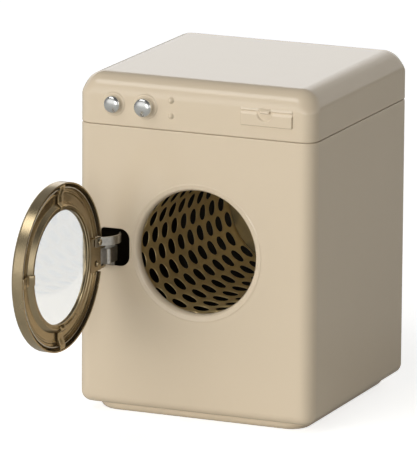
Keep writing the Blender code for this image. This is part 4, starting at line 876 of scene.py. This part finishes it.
def cover_surface(sizes):
    """The pressed cover's outer skin: fine across its front, where shapes are pressed into it."""
    form = bmesh.new()
    fine = 0.00011
    flat = RIGHT - sizes.corner_radius
    knob_top = KNOB_Z + 0.0048
    edge_start = TOP - sizes.edge_radius
    # Where each stretch of columns starts, and how wide they are in it
    stops = ((-flat, 0.001), (KNOB_X[0] - 0.0049, 0.00016), (KNOB_X[1] + 0.0049, 0.001), (PIP_X - 0.0012, fine),
             (PIP_X + 0.0012, 0.003), (DRAWER_X - 0.0101, fine), (DRAWER_X + 0.0101, 0.001), (flat, 0.0))
    columns = [x for (start, step), (end, _) in zip(stops, stops[1:]) for x in spaced(start, end, step)]
    heights = [COVER_BOTTOM, COVER_BOTTOM + HEM, COVER_BOTTOM + 0.0010] + spaced(KNOB_Z - 0.0050, knob_top, fine)
    start = asin((knob_top - edge_start) / sizes.edge_radius)
    for step in range(17):
        angle = start + (0.5 * pi - start) * step / 16
        heights.append(TOP - sizes.edge_radius * (1.0 - sin(angle)))
    rings = []
    for number, height in enumerate(heights):
        inset = edge_inset(height, sizes.edge_radius) + (HEM if number == 0 else 0.0)
        corner = cover_corner(height, sizes) if height > edge_start else sizes.corner_radius
        outline = rounded_rectangle(RIGHT - inset, BACK - inset, corner)
        split = 3 * (CORNER_STEPS + 1)
        across = [column * (RIGHT - inset - corner) / flat for column in columns[1:]]
        front = [(x, pressed_front(x, FRONT + inset, height, sizes)) for x in across]
        rings.append([form.verts.new((x, y, height)) for x, y in outline[:split] + front + outline[split:]])
    return pressed(form, rings, rings[-1], (0.0, 0.0, 1.0))


def make_cover():
    """The pressed cover with its collars, pips and false drawer front."""
    sizes = chosen("housing")
    mesh = thickened(cover_surface(sizes), sizes.sheet, PAINTED)
    mesh = carved(mesh, rods(SHAFT_RADIUS + GAP, [(x, KNOB_Z, -FRONT) for x in KNOB_X]), OUT_OF_FRONT)
    places = [(x, -z, BACK) for x, z in cover_screw_places()]
    mesh = carved(mesh, rods(SHANK_RADIUS + GAP, places), OUT_OF_BACK)
    set_piece("pressed_cover", mesh, PAINTED, "housing", "top_cover", flat=True)


def make_base_pan():
    """The pan that the machine stands on, with its tabs bent over inside the body."""
    sheet = chosen("housing").sheet
    form = bmesh.new()
    rings = bottom_edge(form, PAN_INSET, 0.0, PAN_EDGE_RADIUS, PAN_CORNER)
    rings.append(housing_ring(form, PAN_INSET, FLOOR - GAP, PAN_CORNER))
    skin = pressed(form, rings, list(reversed(rings[0])), (0.0, 0.0, -1.0))
    parts = [(thickened(skin, sheet), Matrix())]
    for turn, offset, wall in tab_places():
        reach = wall - PAN_INSET - 0.5 * sheet
        top = FLOOR + 1.5 * sheet + GAP
        path = softened([(reach, FLOOR - GAP - sheet), (reach, top), (reach - TAB_REACH, top)], 0.0006)
        parts.append((plate(strip(path, 0.96 * sheet), TAB_WIDTH, lift=-offset), turn @ OUT_OF_FRONT))
    set_piece("base_pan_with_tabs", gathered(parts), (ENAMEL,), "housing", "base_pan", flat=True)


def make_back_panel():
    """The panel behind the back opening, with its raised field."""
    sheet = chosen("housing").sheet
    half_x, half_z, middle = back_opening()
    form = bmesh.new()
    rings = [ring_of(form, half_x + PANEL_OVERLAP, half_z + PANEL_OVERLAP, PANEL_CORNER, 0.0)]
    for step in range(7):
        inset = 0.0020 + 0.0012 * step / 6
        rings.append(ring_of(form, half_x - inset, half_z - inset, PANEL_CORNER, 0.0006 * eased(step / 6)))
    mesh = thickened(pressed(form, rings, rings[-1], (0.0, 0.0, 1.0)), sheet, PAINTED)
    mesh = carved(mesh, rods(AXLE_OPENING, [(AXIS_X, middle - AXIS_Z, 0.0)], THROUGH, RING_STEPS // 2))
    mesh = carved(mesh, rods(SHANK_RADIUS + GAP, [(x, middle - z, 0.0) for x, z in back_screw_places()]))
    seat = Matrix.Translation((0.0, BACK - sheet - GAP, middle)) @ OUT_OF_BACK
    set_piece("pressed_back_panel", mesh, PAINTED, "housing", "back_panel", seat, flat=True)


def make_screws():
    """The slotted screws in the back: four in the panel and two in the cover."""
    outline = dome(SCREW_RADIUS, 0.65 * SCREW_HEIGHT, 0.35 * SCREW_HEIGHT)
    outline += [(SCREW_RADIUS, 0.0), (SHANK_RADIUS, 0.0), (SHANK_RADIUS, -SHANK_LENGTH), (0.0, -SHANK_LENGTH)]
    reach = SCREW_RADIUS + THROUGH
    for kind, places in (("back_screw_", back_screw_places()), ("cover_screw_", cover_screw_places())):
        for number, (x, z) in enumerate(places, 1):
            cutter = block((-0.0002, -reach, SCREW_HEIGHT - 0.0004), (0.0002, reach, SCREW_HEIGHT + THROUGH))
            turn = Matrix.Rotation(radians(37 * number), 4, "Z")
            mesh = carved(spun(outline, SMALL_STEPS), cutter, turn)
            seat = Matrix.Translation((x, BACK + GAP, z)) @ OUT_OF_BACK
            title = kind + str(number)
            set_piece("slotted_" + title, mesh, (ZINC,), "housing", title, seat)


def make_knobs():
    """The two domed knobs on their shafts, and their washers behind the cover."""
    names = (("program_knob", "program_dial"), ("temperature_knob", "temperature_dial"))
    base = COLLAR_HEIGHT + GAP
    waist = 0.0004
    groove = -chosen("housing").sheet - GAP
    groove_end = groove - 0.00085
    end = groove - 0.0017
    bore = GROOVE_RADIUS + 0.00021
    rim = 0.0022
    high = groove - 0.00015
    low = high - 0.0004
    for (name, body), x, radius, height in zip(names, KNOB_X, KNOB_RADII, KNOB_HEIGHTS):
        brim = base + height - KNOB_CROWN
        outline = dome(radius, KNOB_CROWN, brim, 20)
        outline += softened([(radius, brim), (radius, base + waist), (radius - waist, base),
                             (SHAFT_RADIUS, base)], 0.00015)[1:]
        outline += [(SHAFT_RADIUS, groove), (GROOVE_RADIUS, groove), (GROOVE_RADIUS, groove_end)]
        outline += [(SHAFT_RADIUS, groove_end), (SHAFT_RADIUS, end), (0.0, end)]
        seat = Matrix.Translation((x, FRONT, KNOB_Z)) @ OUT_OF_FRONT
        set_piece("domed_" + name, spun(outline, 2 * SMALL_STEPS), (CHROME,), body, name, seat)
        ring = spun(washer(bore, rim, high, low), SMALL_STEPS)
        set_piece("spring_" + name + "_washer", ring, (ZINC,), body, name + "_washer", seat)


# Door shapes

def ring_outline(points, thickness, bend):
    """The outline of a door ring from radii and depths behind the outer face."""
    return strip(softened([(radius, -depth) for radius, depth in points], bend), thickness)


def notch(depth):
    """What the hinge takes out of a door ring, in the door's frame."""
    tallest = max(AXIS_Z - LEAF_BOTTOM, STAY_TOP - AXIS_Z) + GAP
    rib = chosen("door").radius - 0.0040
    end = DOOR_REACH - sqrt(rib * rib - tallest * tallest) + GAP
    return block((0.0025, DOOR_FACE + depth, LEAF_BOTTOM - GAP), (end, DOOR_FACE + 0.0086, STAY_TOP + GAP))


def make_door_ring():
    """The door's outer ring with the three tabs folded over the liner."""
    sizes = chosen("door")
    sheet = sizes.ring_sheet
    rim = sizes.radius
    wall = rim - 0.5 * sheet
    path = [(sizes.window_radius, RING_DEPTH), (rim - 0.0020, 0.00055), (rim - 0.0008, 0.00035), (wall, 0.00095),
            (wall, sizes.thickness)]
    parts = [(carved(spun(ring_outline(path, sheet, 0.0008)), notch(0.00145), IN_DOOR), Matrix())]
    over = LIP_DEPTH + GAP + 0.5 * sheet
    along = RING_DEPTH + 0.5 * sizes.liner_sheet + GAP + 0.75 * sheet
    above = CREST_DEPTH + 0.00046
    lip = rim - LIP_INSET
    crest = sizes.window_radius + CREST_OUT
    path = [(rim - 0.6 * sheet, over - 0.0007), (0.5 * (rim - 0.0003 + lip), over),
            (lip - sizes.liner_sheet - GAP, over), (rim - 0.0045, along), (crest + 0.0014, along),
            (crest + 0.0004, above), (crest - 0.0002, above), (sizes.window_radius + 0.0005, CREST_DEPTH + 0.0001)]
    for turn in (0.0, 0.5 * pi, -0.5 * pi):
        tab = modified(plate(ring_outline(path, sheet, 0.0005), 0.0036), "BEVEL", width=0.00012, segments=2,
                       limit_method="ANGLE", angle_limit=SMOOTH_ANGLE)
        parts.append((tab, Matrix.Rotation(turn, 4, "Z") @ OUT_OF_FRONT))
    set_piece("spun_door_ring", gathered(parts), (BRONZE,), "door", "door_bezel", DOOR_SEAT)


def make_door_liner():
    """The dished inner ring that clamps the window. Its cut outer edge is left bare."""
    sizes = chosen("door")
    sheet = sizes.liner_sheet
    edge = RING_DEPTH + 0.5 * sizes.ring_sheet + GAP + sizes.window_sheet + 0.5 * sheet
    crest = sizes.window_radius + CREST_OUT
    rib = sizes.radius - 0.0035
    lip = sizes.radius - LIP_INSET - 0.5 * sheet
    path = [(sizes.window_radius, edge), (crest - 0.00055, edge + 0.2 * sheet), (crest, CREST_DEPTH),
            (crest + 0.00135, RING_DEPTH), (rib - 0.0005, RING_DEPTH), (rib, 0.0031), (rib + 0.0005, RING_DEPTH),
            (lip - 0.5 * sheet, RING_DEPTH), (lip, LIP_DEPTH)]
    outline = ring_outline(path, sheet, 0.0003)
    finishes = (BRONZE, ZINC)
    mesh = with_finishes(spun(outline, bare=(len(outline) // 2 - 1,)), finishes)
    mesh = carved(mesh, notch(RING_DEPTH + 0.5 * sheet + 0.2 * GAP), IN_DOOR)
    places = [(RIVET_REACH, height, 0.0) for height in RIVET_HEIGHTS]
    mesh = carved(mesh, rods(RIVET_HOLE, places, 3.0 * THROUGH), IN_DOOR @ OUT_OF_FRONT)
    set_piece("spun_door_liner", mesh, finishes, "door", "door_liner", DOOR_SEAT)


def make_window():
    """The clear disc between the two rings."""
    sizes = chosen("door")
    radius = sizes.window_radius + 0.00115
    front = -(RING_DEPTH + 0.5 * sizes.ring_sheet + 0.5 * GAP)
    mesh = spun(washer(0.0, radius, front, front - sizes.window_sheet, 0.00008))
    set_piece("clear_door_window", mesh, (CLEAR,), "door", "door_window", DOOR_SEAT)


# Hinge shapes

def make_leaf():
    """The leaf on the door: a plate on the liner and two arms with eyes for the pin."""
    eye = 0.0019
    left = 0.0046
    right = DOOR_REACH - (chosen("door").window_radius + 0.00275)
    outline = rounded_rectangle(0.5 * (right - left), 0.5 * (STAY_TOP - LEAF_BOTTOM), 0.0005, 4,
                                (0.5 * (left + right), 0.5 * (LEAF_BOTTOM + STAY_TOP)))
    holes = [circle(RIVET_HOLE, 20, (RIVET_REACH, height)) for height in RIVET_HEIGHTS]
    parts = [(plate(outline, LEAF_SHEET, holes, lift=-(LEAF_FACE + 0.5 * LEAF_SHEET)), OUT_OF_FRONT)]
    tip = (0.0060, LEAF_FACE + 0.8 * LEAF_SHEET)
    root = (0.0060, 0.0011)
    eye_top = acos(eye / hypot(*tip)) + atan2(tip[1], tip[0])
    eye_bottom = atan2(root[1], root[0]) - acos(eye / hypot(*root))
    outline = [root, tip] + arc(eye, eye_top, eye_bottom + 2.0 * pi, 28)
    for height in (LEAF_BOTTOM + 0.5 * ARM_SHEET, LEAF_TOP - 0.5 * ARM_SHEET):
        parts.append((plate(outline, ARM_SHEET, [circle(PIN_RADIUS + GAP, 28)], lift=height), Matrix()))
    set_piece("stamped_hinge_leaf", gathered(parts), (BRONZE,), "door", "hinge_leaf", DOOR_PLACE, bevel=0.00009)


def make_stay():
    """The curved strap that follows the hinge axis into the slot and steadies the door."""
    radius = 0.0069
    foot = LEAF_FACE + LEAF_SHEET + GAP + 0.5 * STRAP_SHEET
    start = atan2(foot, sqrt(radius * radius - foot * foot))
    path = rounded([(0.0094, foot)] + arc(radius, start, radians(129), 40), 1, 0.0008)
    mesh = plate(strip(path, STRAP_SHEET), STAY_TOP - STAY_BOTTOM, lift=0.5 * (STAY_TOP + STAY_BOTTOM))
    hole = rods(RIVET_HOLE, [(RIVET_REACH, RIVET_HEIGHTS[1], -foot)], 2.0 * STRAP_SHEET)
    set_piece("bent_door_stay", carved(mesh, hole, OUT_OF_FRONT), (ZINC,), "door", "door_stay", DOOR_PLACE,
              bevel=0.00008)


def make_rivets():
    """The two rivets through the leaf and the liner, the upper one through the stay as well."""
    under = DOOR_FACE + RING_DEPTH - 0.0002 - GAP
    leaf_top = LEAF_FACE + LEAF_SHEET + GAP
    for number, (height, top) in enumerate(zip(RIVET_HEIGHTS, (leaf_top, leaf_top + STRAP_SHEET + GAP)), 1):
        outline = dome(0.0011, -0.0006, -top) + [(0.0005, -top), (0.0005, -under), (0.0008, -under)]
        outline += [(0.00075, 0.0005 - under), (0.0, 0.0005 - under)]
        title = "leaf_rivet_" + str(number)
        seat = DOOR_PLACE @ Matrix.Translation((RIVET_REACH, 0.0, height)) @ OUT_OF_FRONT
        set_piece("domed_" + title, spun(outline, SMALL_STEPS), (BRONZE,), "door", title, seat)


def make_pin():
    """The pin through the leaf's eyes and the bracket's knuckle, headed at both ends."""
    head = 0.0013
    rise = 0.0006
    bottom = LEAF_BOTTOM - GAP
    top = LEAF_TOP + GAP
    upper = dome(head, 0.7 * rise, top + 0.3 * rise)
    outline = upper + [(head, top), (PIN_RADIUS, top), (PIN_RADIUS, bottom), (head, bottom)]
    outline += [(x, bottom + top - z) for x, z in reversed(upper)]
    set_piece("headed_hinge_pin", spun(outline, SMALL_STEPS), (ZINC,), "door", "hinge_pin", DOOR_PLACE)


def make_bracket():
    """The fixed strap: a knuckle round the pin, back through the slot, and a foot inside the front."""
    wall = chosen("housing").sheet
    bottom = LEAF_BOTTOM + ARM_SHEET + 2.0 * GAP
    top = LEAF_TOP - ARM_SHEET - GAP
    knuckle = PIN_RADIUS + GAP + 0.5 * STRAP_SHEET
    foot = FRONT - PIVOT_Y + wall + GAP + 0.5 * wall
    path = arc(knuckle, 0.0, 1.5 * pi, 30)
    bend = len(path)
    path += [(0.0041, -knuckle), (0.0041, foot), (-0.00255, foot)]
    path = rounded(rounded(path, bend + 1, 0.0008), bend, 0.0008)
    parts = [(plate(strip(path, STRAP_SHEET), top - bottom, lift=0.5 * (top + bottom)), Matrix())]
    outline = rounded_rectangle(0.0041, 0.5 * (top - bottom + 0.0087), 0.0006, 4,
                                (-0.0010, 0.5 * (bottom + top - 0.0099)))
    parts.append((plate(outline, wall, lift=-foot), OUT_OF_FRONT))
    seat = Matrix.Translation((PIVOT_X, PIVOT_Y, 0.0))
    set_piece("bent_hinge_bracket", gathered(parts), (ZINC,), "housing", "hinge_bracket", seat, bevel=0.00008)


# Drum shapes

def make_drum_wall():
    """The drum's wall: a rolled sheet with staggered rows of round punched holes."""
    sizes = chosen("drum")
    inner = sizes.radius - DRUM_SHEET
    half_pitch = 0.5 * sizes.hole_pitch
    parts = 3
    fine = half_pitch / parts
    depth = DRUM_HIGH.y - DRUM_LOW.y
    band = 0.5 * (depth - 2.0 * sizes.row_holes * half_pitch)
    lines = 2 * sizes.row_holes * parts
    row_angle = 2.0 * pi / sizes.rows
    across_steps = 2 * parts
    form = bmesh.new()
    made = {}

    def on_wall(turn, distance, out=0.0):
        """A place on the drum's wall. The sheet is rolled a little off square, so its rows lean."""
        level = DRUM_LOW.y + distance
        leant = turn + ROW_LEAN * level
        return (-(inner + out) * cos(leant), level, -(inner + out) * sin(leant))

    def turn_at(step):
        """The turn of a line along the drum."""
        return FIRST_ROW + row_angle * (step / across_steps - 0.5)

    def spot(step, distance):
        """A point on the drum's inner face, shared where two cells meet."""
        key = (step % (sizes.rows * across_steps), round(distance * 10000000))
        if key not in made:
            made[key] = form.verts.new(on_wall(turn_at(step), distance))
        return made[key]

    for row in range(sizes.rows):
        middle = FIRST_ROW + row * row_angle
        turns = [row * across_steps + step for step in range(across_steps + 1)]
        count = sizes.row_holes - row % 2
        first = row % 2 * parts
        stops = [0.0] + [band + fine * line for line in range(first + 1)]
        ends = [band + fine * line for line in range(first + 2 * count * parts, lines + 1)] + [depth]
        for run in (stops, ends):
            for low, high in zip(run, run[1:]):
                for left, right in zip(turns, turns[1:]):
                    form.faces.new((spot(left, low), spot(left, high), spot(right, high), spot(right, low)))
        for hole in range(count):
            distances = [band + fine * (first + 2 * hole * parts + step) for step in range(2 * parts + 1)]
            border = [(turn, distances[0]) for turn in turns[:-1]]
            border += [(turns[-1], distance) for distance in distances[:-1]]
            border += [(turn, distances[-1]) for turn in reversed(turns[1:])]
            border += [(turns[0], distance) for distance in reversed(distances[1:])]
            centre = distances[parts]
            loops = [[spot(*point) for point in border]]
            for reach, out in DIMPLE:
                radius = sizes.hole_radius + reach
                ring = []
                for step, distance in border:
                    angle = atan2(distance - centre, (turn_at(step) - middle) * inner)
                    place = on_wall(middle + radius * cos(angle) / inner, centre + radius * sin(angle), out)
                    ring.append(form.verts.new(place))
                loops.append(ring)
            for outer, inside in zip(loops, loops[1:]):
                bridge(form, outer, inside)
    bmesh.ops.recalc_face_normals(form, faces=form.faces)
    largest = max(form.faces, key=lambda face: face.calc_area())
    centre = largest.calc_center_median()
    if largest.normal.x * centre.x + largest.normal.z * centre.z > 0:
        bmesh.ops.reverse_faces(form, faces=form.faces)
    mesh = thickened(as_mesh(form), DRUM_SHEET)
    mesh.transform(OUT_OF_BACK.inverted())
    set_piece("punched_drum_wall", mesh, (GOLD,), "drum", "drum_shell", DRUM_SEAT)


def make_drum_back():
    """The disc that closes the drum, with a pressed ring and a rim turned back inside the wall."""
    radius = chosen("drum").radius - DRUM_SHEET - 0.0001 - 0.5 * DISC_SHEET
    face = DRUM_BACK + 0.5 * DISC_SHEET
    field = face + 0.0004
    path = [(0.0018, face), (0.0075, face), (0.0085, field), (0.0165, field), (0.0175, face), (radius, face),
            (radius, face + 0.0012)]
    mesh = spun(strip(softened(path, 0.00035), DISC_SHEET))
    # The disc wears the gold lacquer darkened as painted shade of the drum's back
    set_piece("spun_drum_back", mesh, (SHADED_GOLD,), "drum", "drum_back", DRUM_SEAT)


def make_axle_parts():
    """The axle with its domed head, the washer behind the drum, the bush and the clip."""
    face = DRUM_BACK - GAP
    flange = 0.0006
    bush = BACK - chosen("housing").sheet - GAP + flange - 0.0007 - GAP
    clip = bush + 0.0007 + 3.0 * GAP + flange
    clip_end = clip + 0.0006
    end = clip_end + GAP + 0.0006
    shaft = 0.0015
    groove = 0.0011
    axle = dome(0.0032, -0.0009, face, 12) + [(shaft, face), (shaft, clip - 0.00015), (groove, clip - 0.00015)]
    axle += [(groove, clip_end + 0.00015), (shaft, clip_end + 0.00015), (shaft, end - 0.0003), (0.0012, end),
             (0.0, end)]
    low = DRUM_BACK + DISC_SHEET + GAP
    bore = shaft + GAP
    back = bush + 0.0007 + 2.0 * GAP
    barrel = [(bore, bush - flange), (0.0042, bush - flange), (0.0042, bush), (bore + 0.0009, bush),
              (bore + 0.0009, back), (0.0036, back), (0.0034, back + flange), (bore, back + flange)]
    for name, outline, steps, finish, body, stands_for in (
        ("headed_drum_axle", axle, 2 * SMALL_STEPS, ZINC, "drum", "drum_axle"),
        ("plain_hub_washer", washer(0.0018, 0.0045, low, low + 0.0009, 0.0001), 2 * SMALL_STEPS, ZINC, "drum",
         "hub_washer"),
        ("clinched_axle_bush", barrel, 2 * SMALL_STEPS, BRONZE, "housing", "axle_bush"),
        ("spring_axle_clip", washer(0.00131, 0.0033, clip, clip_end), SMALL_STEPS, ZINC, "drum", "axle_clip"),
    ):
        set_piece(name, spun(outline, steps), (finish,), body, stands_for, DRUM_SEAT)


# Stage

def seen_rays(tree):
    """Whether a ray comes from the camera, also through the window, and whether it was mirrored."""
    ray = node(tree, "ShaderNodeLightPath").outputs
    direct = node(tree, "ShaderNodeMath", {0: ray["Is Camera Ray"], 1: ray["Is Transmission Ray"]},
                  operation="MAXIMUM")
    return direct.outputs["Value"], ray["Is Glossy Ray"]


def soft_lamp(name, turn, rise, distance, width, height, power):
    """A large soft lamp round the machine, with its turn to the right of the front and its rise in degrees."""
    way = direction_of(turn, rise)
    light = bpy.data.lights.new(name, "AREA")
    light.shape = "RECTANGLE"
    light.size = width
    light.size_y = height
    light.energy = power
    turned = way.to_track_quat("Z", "Y").to_matrix().to_4x4()
    return placed(name, light, Matrix.Translation(AIM + way * distance) @ turned)


def make_floor():
    """A plain pale floor that runs out of view, white to the camera apart from the soft shadow."""
    form = bmesh.new()
    bmesh.ops.create_grid(form, x_segments=12, y_segments=12, size=6.0)
    floor = placed("studio_floor", as_mesh(form))
    material = bpy.data.materials.new("painted_studio_floor")
    material.use_nodes = True
    tree = material.node_tree
    tree.nodes.clear()
    paint = node(tree, "ShaderNodeBsdfDiffuse", {"Color": (*chosen("finish").backdrop, 1.0)}).outputs["BSDF"]
    glow = node(tree, "ShaderNodeEmission", {"Strength": FLOOR_GLOW}).outputs["Emission"]
    both = node(tree, "ShaderNodeAddShader", {0: paint, 1: glow}).outputs["Shader"]
    direct, mirrored = seen_rays(tree)
    faint = node(tree, "ShaderNodeMath", {0: mirrored, 1: FLOOR_MIRRORED}, operation="MULTIPLY").outputs["Value"]
    seen = node(tree, "ShaderNodeMath", {0: direct, 1: faint}, operation="MAXIMUM").outputs["Value"]
    final = node(tree, "ShaderNodeMixShader", {0: seen, 1: paint, 2: both}).outputs["Shader"]
    node(tree, "ShaderNodeOutputMaterial", {"Surface": final})
    floor.data.materials.append(material)


def glow_towards(tree, direction, turn, rise, dark, full, strength):
    """A soft patch of light in the room, from the cosine where it starts to the one where it is full."""
    near = node(tree, "ShaderNodeVectorMath", {0: direction, 1: direction_of(turn, rise)}, operation="DOT_PRODUCT")
    return node(tree, "ShaderNodeMapRange", {"Value": near.outputs["Value"], "From Min": dark, "From Max": full,
                "To Min": 0.0, "To Max": strength}, interpolation_type="SMOOTHSTEP").outputs["Result"]


def added(tree, total, parts):
    """A number with several outputs added to it."""
    for part in parts:
        total = node(tree, "ShaderNodeMath", {0: total, 1: part}, operation="ADD").outputs["Value"]
    return total


def make_world():
    """A studio room lit from the left of the front, with a white sweep behind and pale walls that metal mirrors."""
    world = bpy.data.worlds.new("studio_room")
    bpy.context.scene.world = world
    world.use_nodes = True
    tree = world.node_tree
    tree.nodes.clear()
    direct, mirrored = seen_rays(tree)
    direction = node(tree, "ShaderNodeTexCoord").outputs["Generated"]
    walls = [glow_towards(tree, direction, *patch) for patch in WALLS]
    windows = [glow_towards(tree, direction, *patch) for patch in WINDOWS]
    up = node(tree, "ShaderNodeSeparateXYZ", {"Vector": direction}).outputs["Z"]
    ceiling = node(tree, "ShaderNodeMapRange", {"Value": up, "From Min": 0.3, "From Max": 0.6, "To Min": 1.0,
                   "To Max": 0.3}, interpolation_type="SMOOTHSTEP").outputs["Result"]
    room = node(tree, "ShaderNodeMath", {0: added(tree, WALL_LEVEL, walls), 1: ceiling}, operation="MULTIPLY")
    strengths = (added(tree, WINDOW_LEVEL, windows), room.outputs["Value"], 1.0)
    fill, walled, white = (node(tree, "ShaderNodeBackground", {"Strength": strength}).outputs["Background"]
                           for strength in strengths)
    lit = node(tree, "ShaderNodeMixShader", {0: mirrored, 1: fill, 2: walled}).outputs["Shader"]
    final = node(tree, "ShaderNodeMixShader", {0: direct, 1: lit, 2: white}).outputs["Shader"]
    node(tree, "ShaderNodeOutputWorld", {"Surface": final})


def make_camera():
    """The camera of the photograph: a long lens from the front right, a little above the machine."""
    turn = 23.295
    roll = radians(0.382)
    distance = 2.0833
    back = direction_of(turn, 12.982)
    side = direction_of(turn + 90.0, 0.0)
    up = back.cross(side)
    right = cos(roll) * side + sin(roll) * up
    above = cos(roll) * up - sin(roll) * side
    place = Matrix.Translation(AIM - 0.012453 * right - 0.000458 * above + distance * back)
    camera = placed("photo_camera", bpy.data.cameras.new("photo_camera"),
                    place @ Matrix((right, above, back)).transposed().to_4x4())
    camera.data.lens = 467.2
    camera.data.clip_end = 30.0
    bpy.context.scene.camera = camera


def make_lamps():
    """Soft lamps: one high on the left, one by the camera and a low one behind."""
    soft_lamp("high_softbox", turn=-40.0, rise=55.0, distance=1.6, width=1.3, height=0.46, power=6.0)
    soft_lamp("front_softbox", turn=16.0, rise=9.0, distance=2.2, width=0.7, height=0.7, power=8.0)
    sweep = soft_lamp("back_softbox", turn=-157.0, rise=17.0, distance=2.2, width=2.4, height=0.8, power=4.3)
    sweep.visible_camera = False
    sweep.visible_transmission = False


class TOYWASHER_OT_body(bpy.types.Operator):
    """Build the drawn body with its porthole bead and hinge slot"""
    bl_idname = "toy_washer.body"
    bl_label = "Drawn Body"

    def execute(self, context):
        make_body()
        return {"FINISHED"}


class TOYWASHER_OT_cover(bpy.types.Operator):
    """Build the pressed cover with its collars, pips and drawer front"""
    bl_idname = "toy_washer.cover"
    bl_label = "Pressed Cover"

    def execute(self, context):
        make_cover()
        return {"FINISHED"}


class TOYWASHER_OT_base_pan(bpy.types.Operator):
    """Build the base pan and its bent tabs"""
    bl_idname = "toy_washer.base_pan"
    bl_label = "Base Pan"

    def execute(self, context):
        make_base_pan()
        return {"FINISHED"}


class TOYWASHER_OT_back_panel(bpy.types.Operator):
    """Build the back panel with its raised field"""
    bl_idname = "toy_washer.back_panel"
    bl_label = "Back Panel"

    def execute(self, context):
        make_back_panel()
        return {"FINISHED"}


class TOYWASHER_OT_screws(bpy.types.Operator):
    """Build the slotted screws in the back"""
    bl_idname = "toy_washer.screws"
    bl_label = "Screws"

    def execute(self, context):
        make_screws()
        return {"FINISHED"}


class TOYWASHER_OT_knobs(bpy.types.Operator):
    """Build the two knobs and their washers"""
    bl_idname = "toy_washer.knobs"
    bl_label = "Knobs"

    def execute(self, context):
        make_knobs()
        return {"FINISHED"}


class TOYWASHER_OT_door(bpy.types.Operator):
    """Build the door's two rings"""
    bl_idname = "toy_washer.door"
    bl_label = "Door Rings"

    def execute(self, context):
        make_door_ring()
        make_door_liner()
        return {"FINISHED"}


class TOYWASHER_OT_window(bpy.types.Operator):
    """Build the clear window"""
    bl_idname = "toy_washer.window"
    bl_label = "Window"

    def execute(self, context):
        make_window()
        return {"FINISHED"}


class TOYWASHER_OT_hinge(bpy.types.Operator):
    """Build the hinge: leaf, stay, rivets, pin and bracket"""
    bl_idname = "toy_washer.hinge"
    bl_label = "Hinge"

    def execute(self, context):
        make_leaf()
        make_stay()
        make_rivets()
        make_pin()
        make_bracket()
        return {"FINISHED"}


class TOYWASHER_OT_drum(bpy.types.Operator):
    """Build the drum's wall and back"""
    bl_idname = "toy_washer.drum"
    bl_label = "Drum"

    def execute(self, context):
        make_drum_wall()
        make_drum_back()
        return {"FINISHED"}


class TOYWASHER_OT_axle(bpy.types.Operator):
    """Build the drum's axle, washer, bush and clip"""
    bl_idname = "toy_washer.axle"
    bl_label = "Axle"

    def execute(self, context):
        make_axle_parts()
        return {"FINISHED"}


class TOYWASHER_OT_stage(bpy.types.Operator):
    """Set the floor, the room, the lamps and the camera"""
    bl_idname = "toy_washer.stage"
    bl_label = "Stage"

    def execute(self, context):
        make_floor()
        make_world()
        make_lamps()
        make_camera()
        context.scene.view_settings.view_transform = "Standard"
        return {"FINISHED"}


class TOYWASHER_PT_panel(bpy.types.Panel):
    """The machine's sizes, colours and pieces"""
    bl_idname = "TOYWASHER_PT_panel"
    bl_label = "Toy Washing Machine"
    bl_space_type = "VIEW_3D"
    bl_region_type = "UI"
    bl_category = "Toy Washer"

    def draw(self, context):
        settings = context.scene.toy_washer
        for group in (settings.housing, settings.door, settings.drum, settings.finish):
            box = self.layout.box()
            for name in group.__annotations__:
                box.prop(group, name)
        for operator in OPERATORS:
            self.layout.operator(operator.bl_idname)


GROUPS = (HousingSizes, DoorSizes, DrumSizes, Finishes, ToyWasherSettings)
OPERATORS = (
    TOYWASHER_OT_stage, TOYWASHER_OT_body, TOYWASHER_OT_cover, TOYWASHER_OT_base_pan, TOYWASHER_OT_back_panel,
    TOYWASHER_OT_screws, TOYWASHER_OT_knobs, TOYWASHER_OT_door, TOYWASHER_OT_window, TOYWASHER_OT_hinge,
    TOYWASHER_OT_drum, TOYWASHER_OT_axle,
)


def register():
    """Register the settings, the operators and the panel."""
    for item in (*GROUPS, *OPERATORS, TOYWASHER_PT_panel):
        bpy.utils.register_class(item)
    bpy.types.Scene.toy_washer = bpy.props.PointerProperty(type=ToyWasherSettings)


def unregister():
    """Take the settings, the operators and the panel out again."""
    del bpy.types.Scene.toy_washer
    for item in reversed((*GROUPS, *OPERATORS, TOYWASHER_PT_panel)):
        bpy.utils.unregister_class(item)


def main():
    """Build every piece."""
    register()
    for operator in OPERATORS:
        group, name = operator.bl_idname.split(".")
        getattr(getattr(bpy.ops, group), name)()


if __name__ == "__main__":
    main()
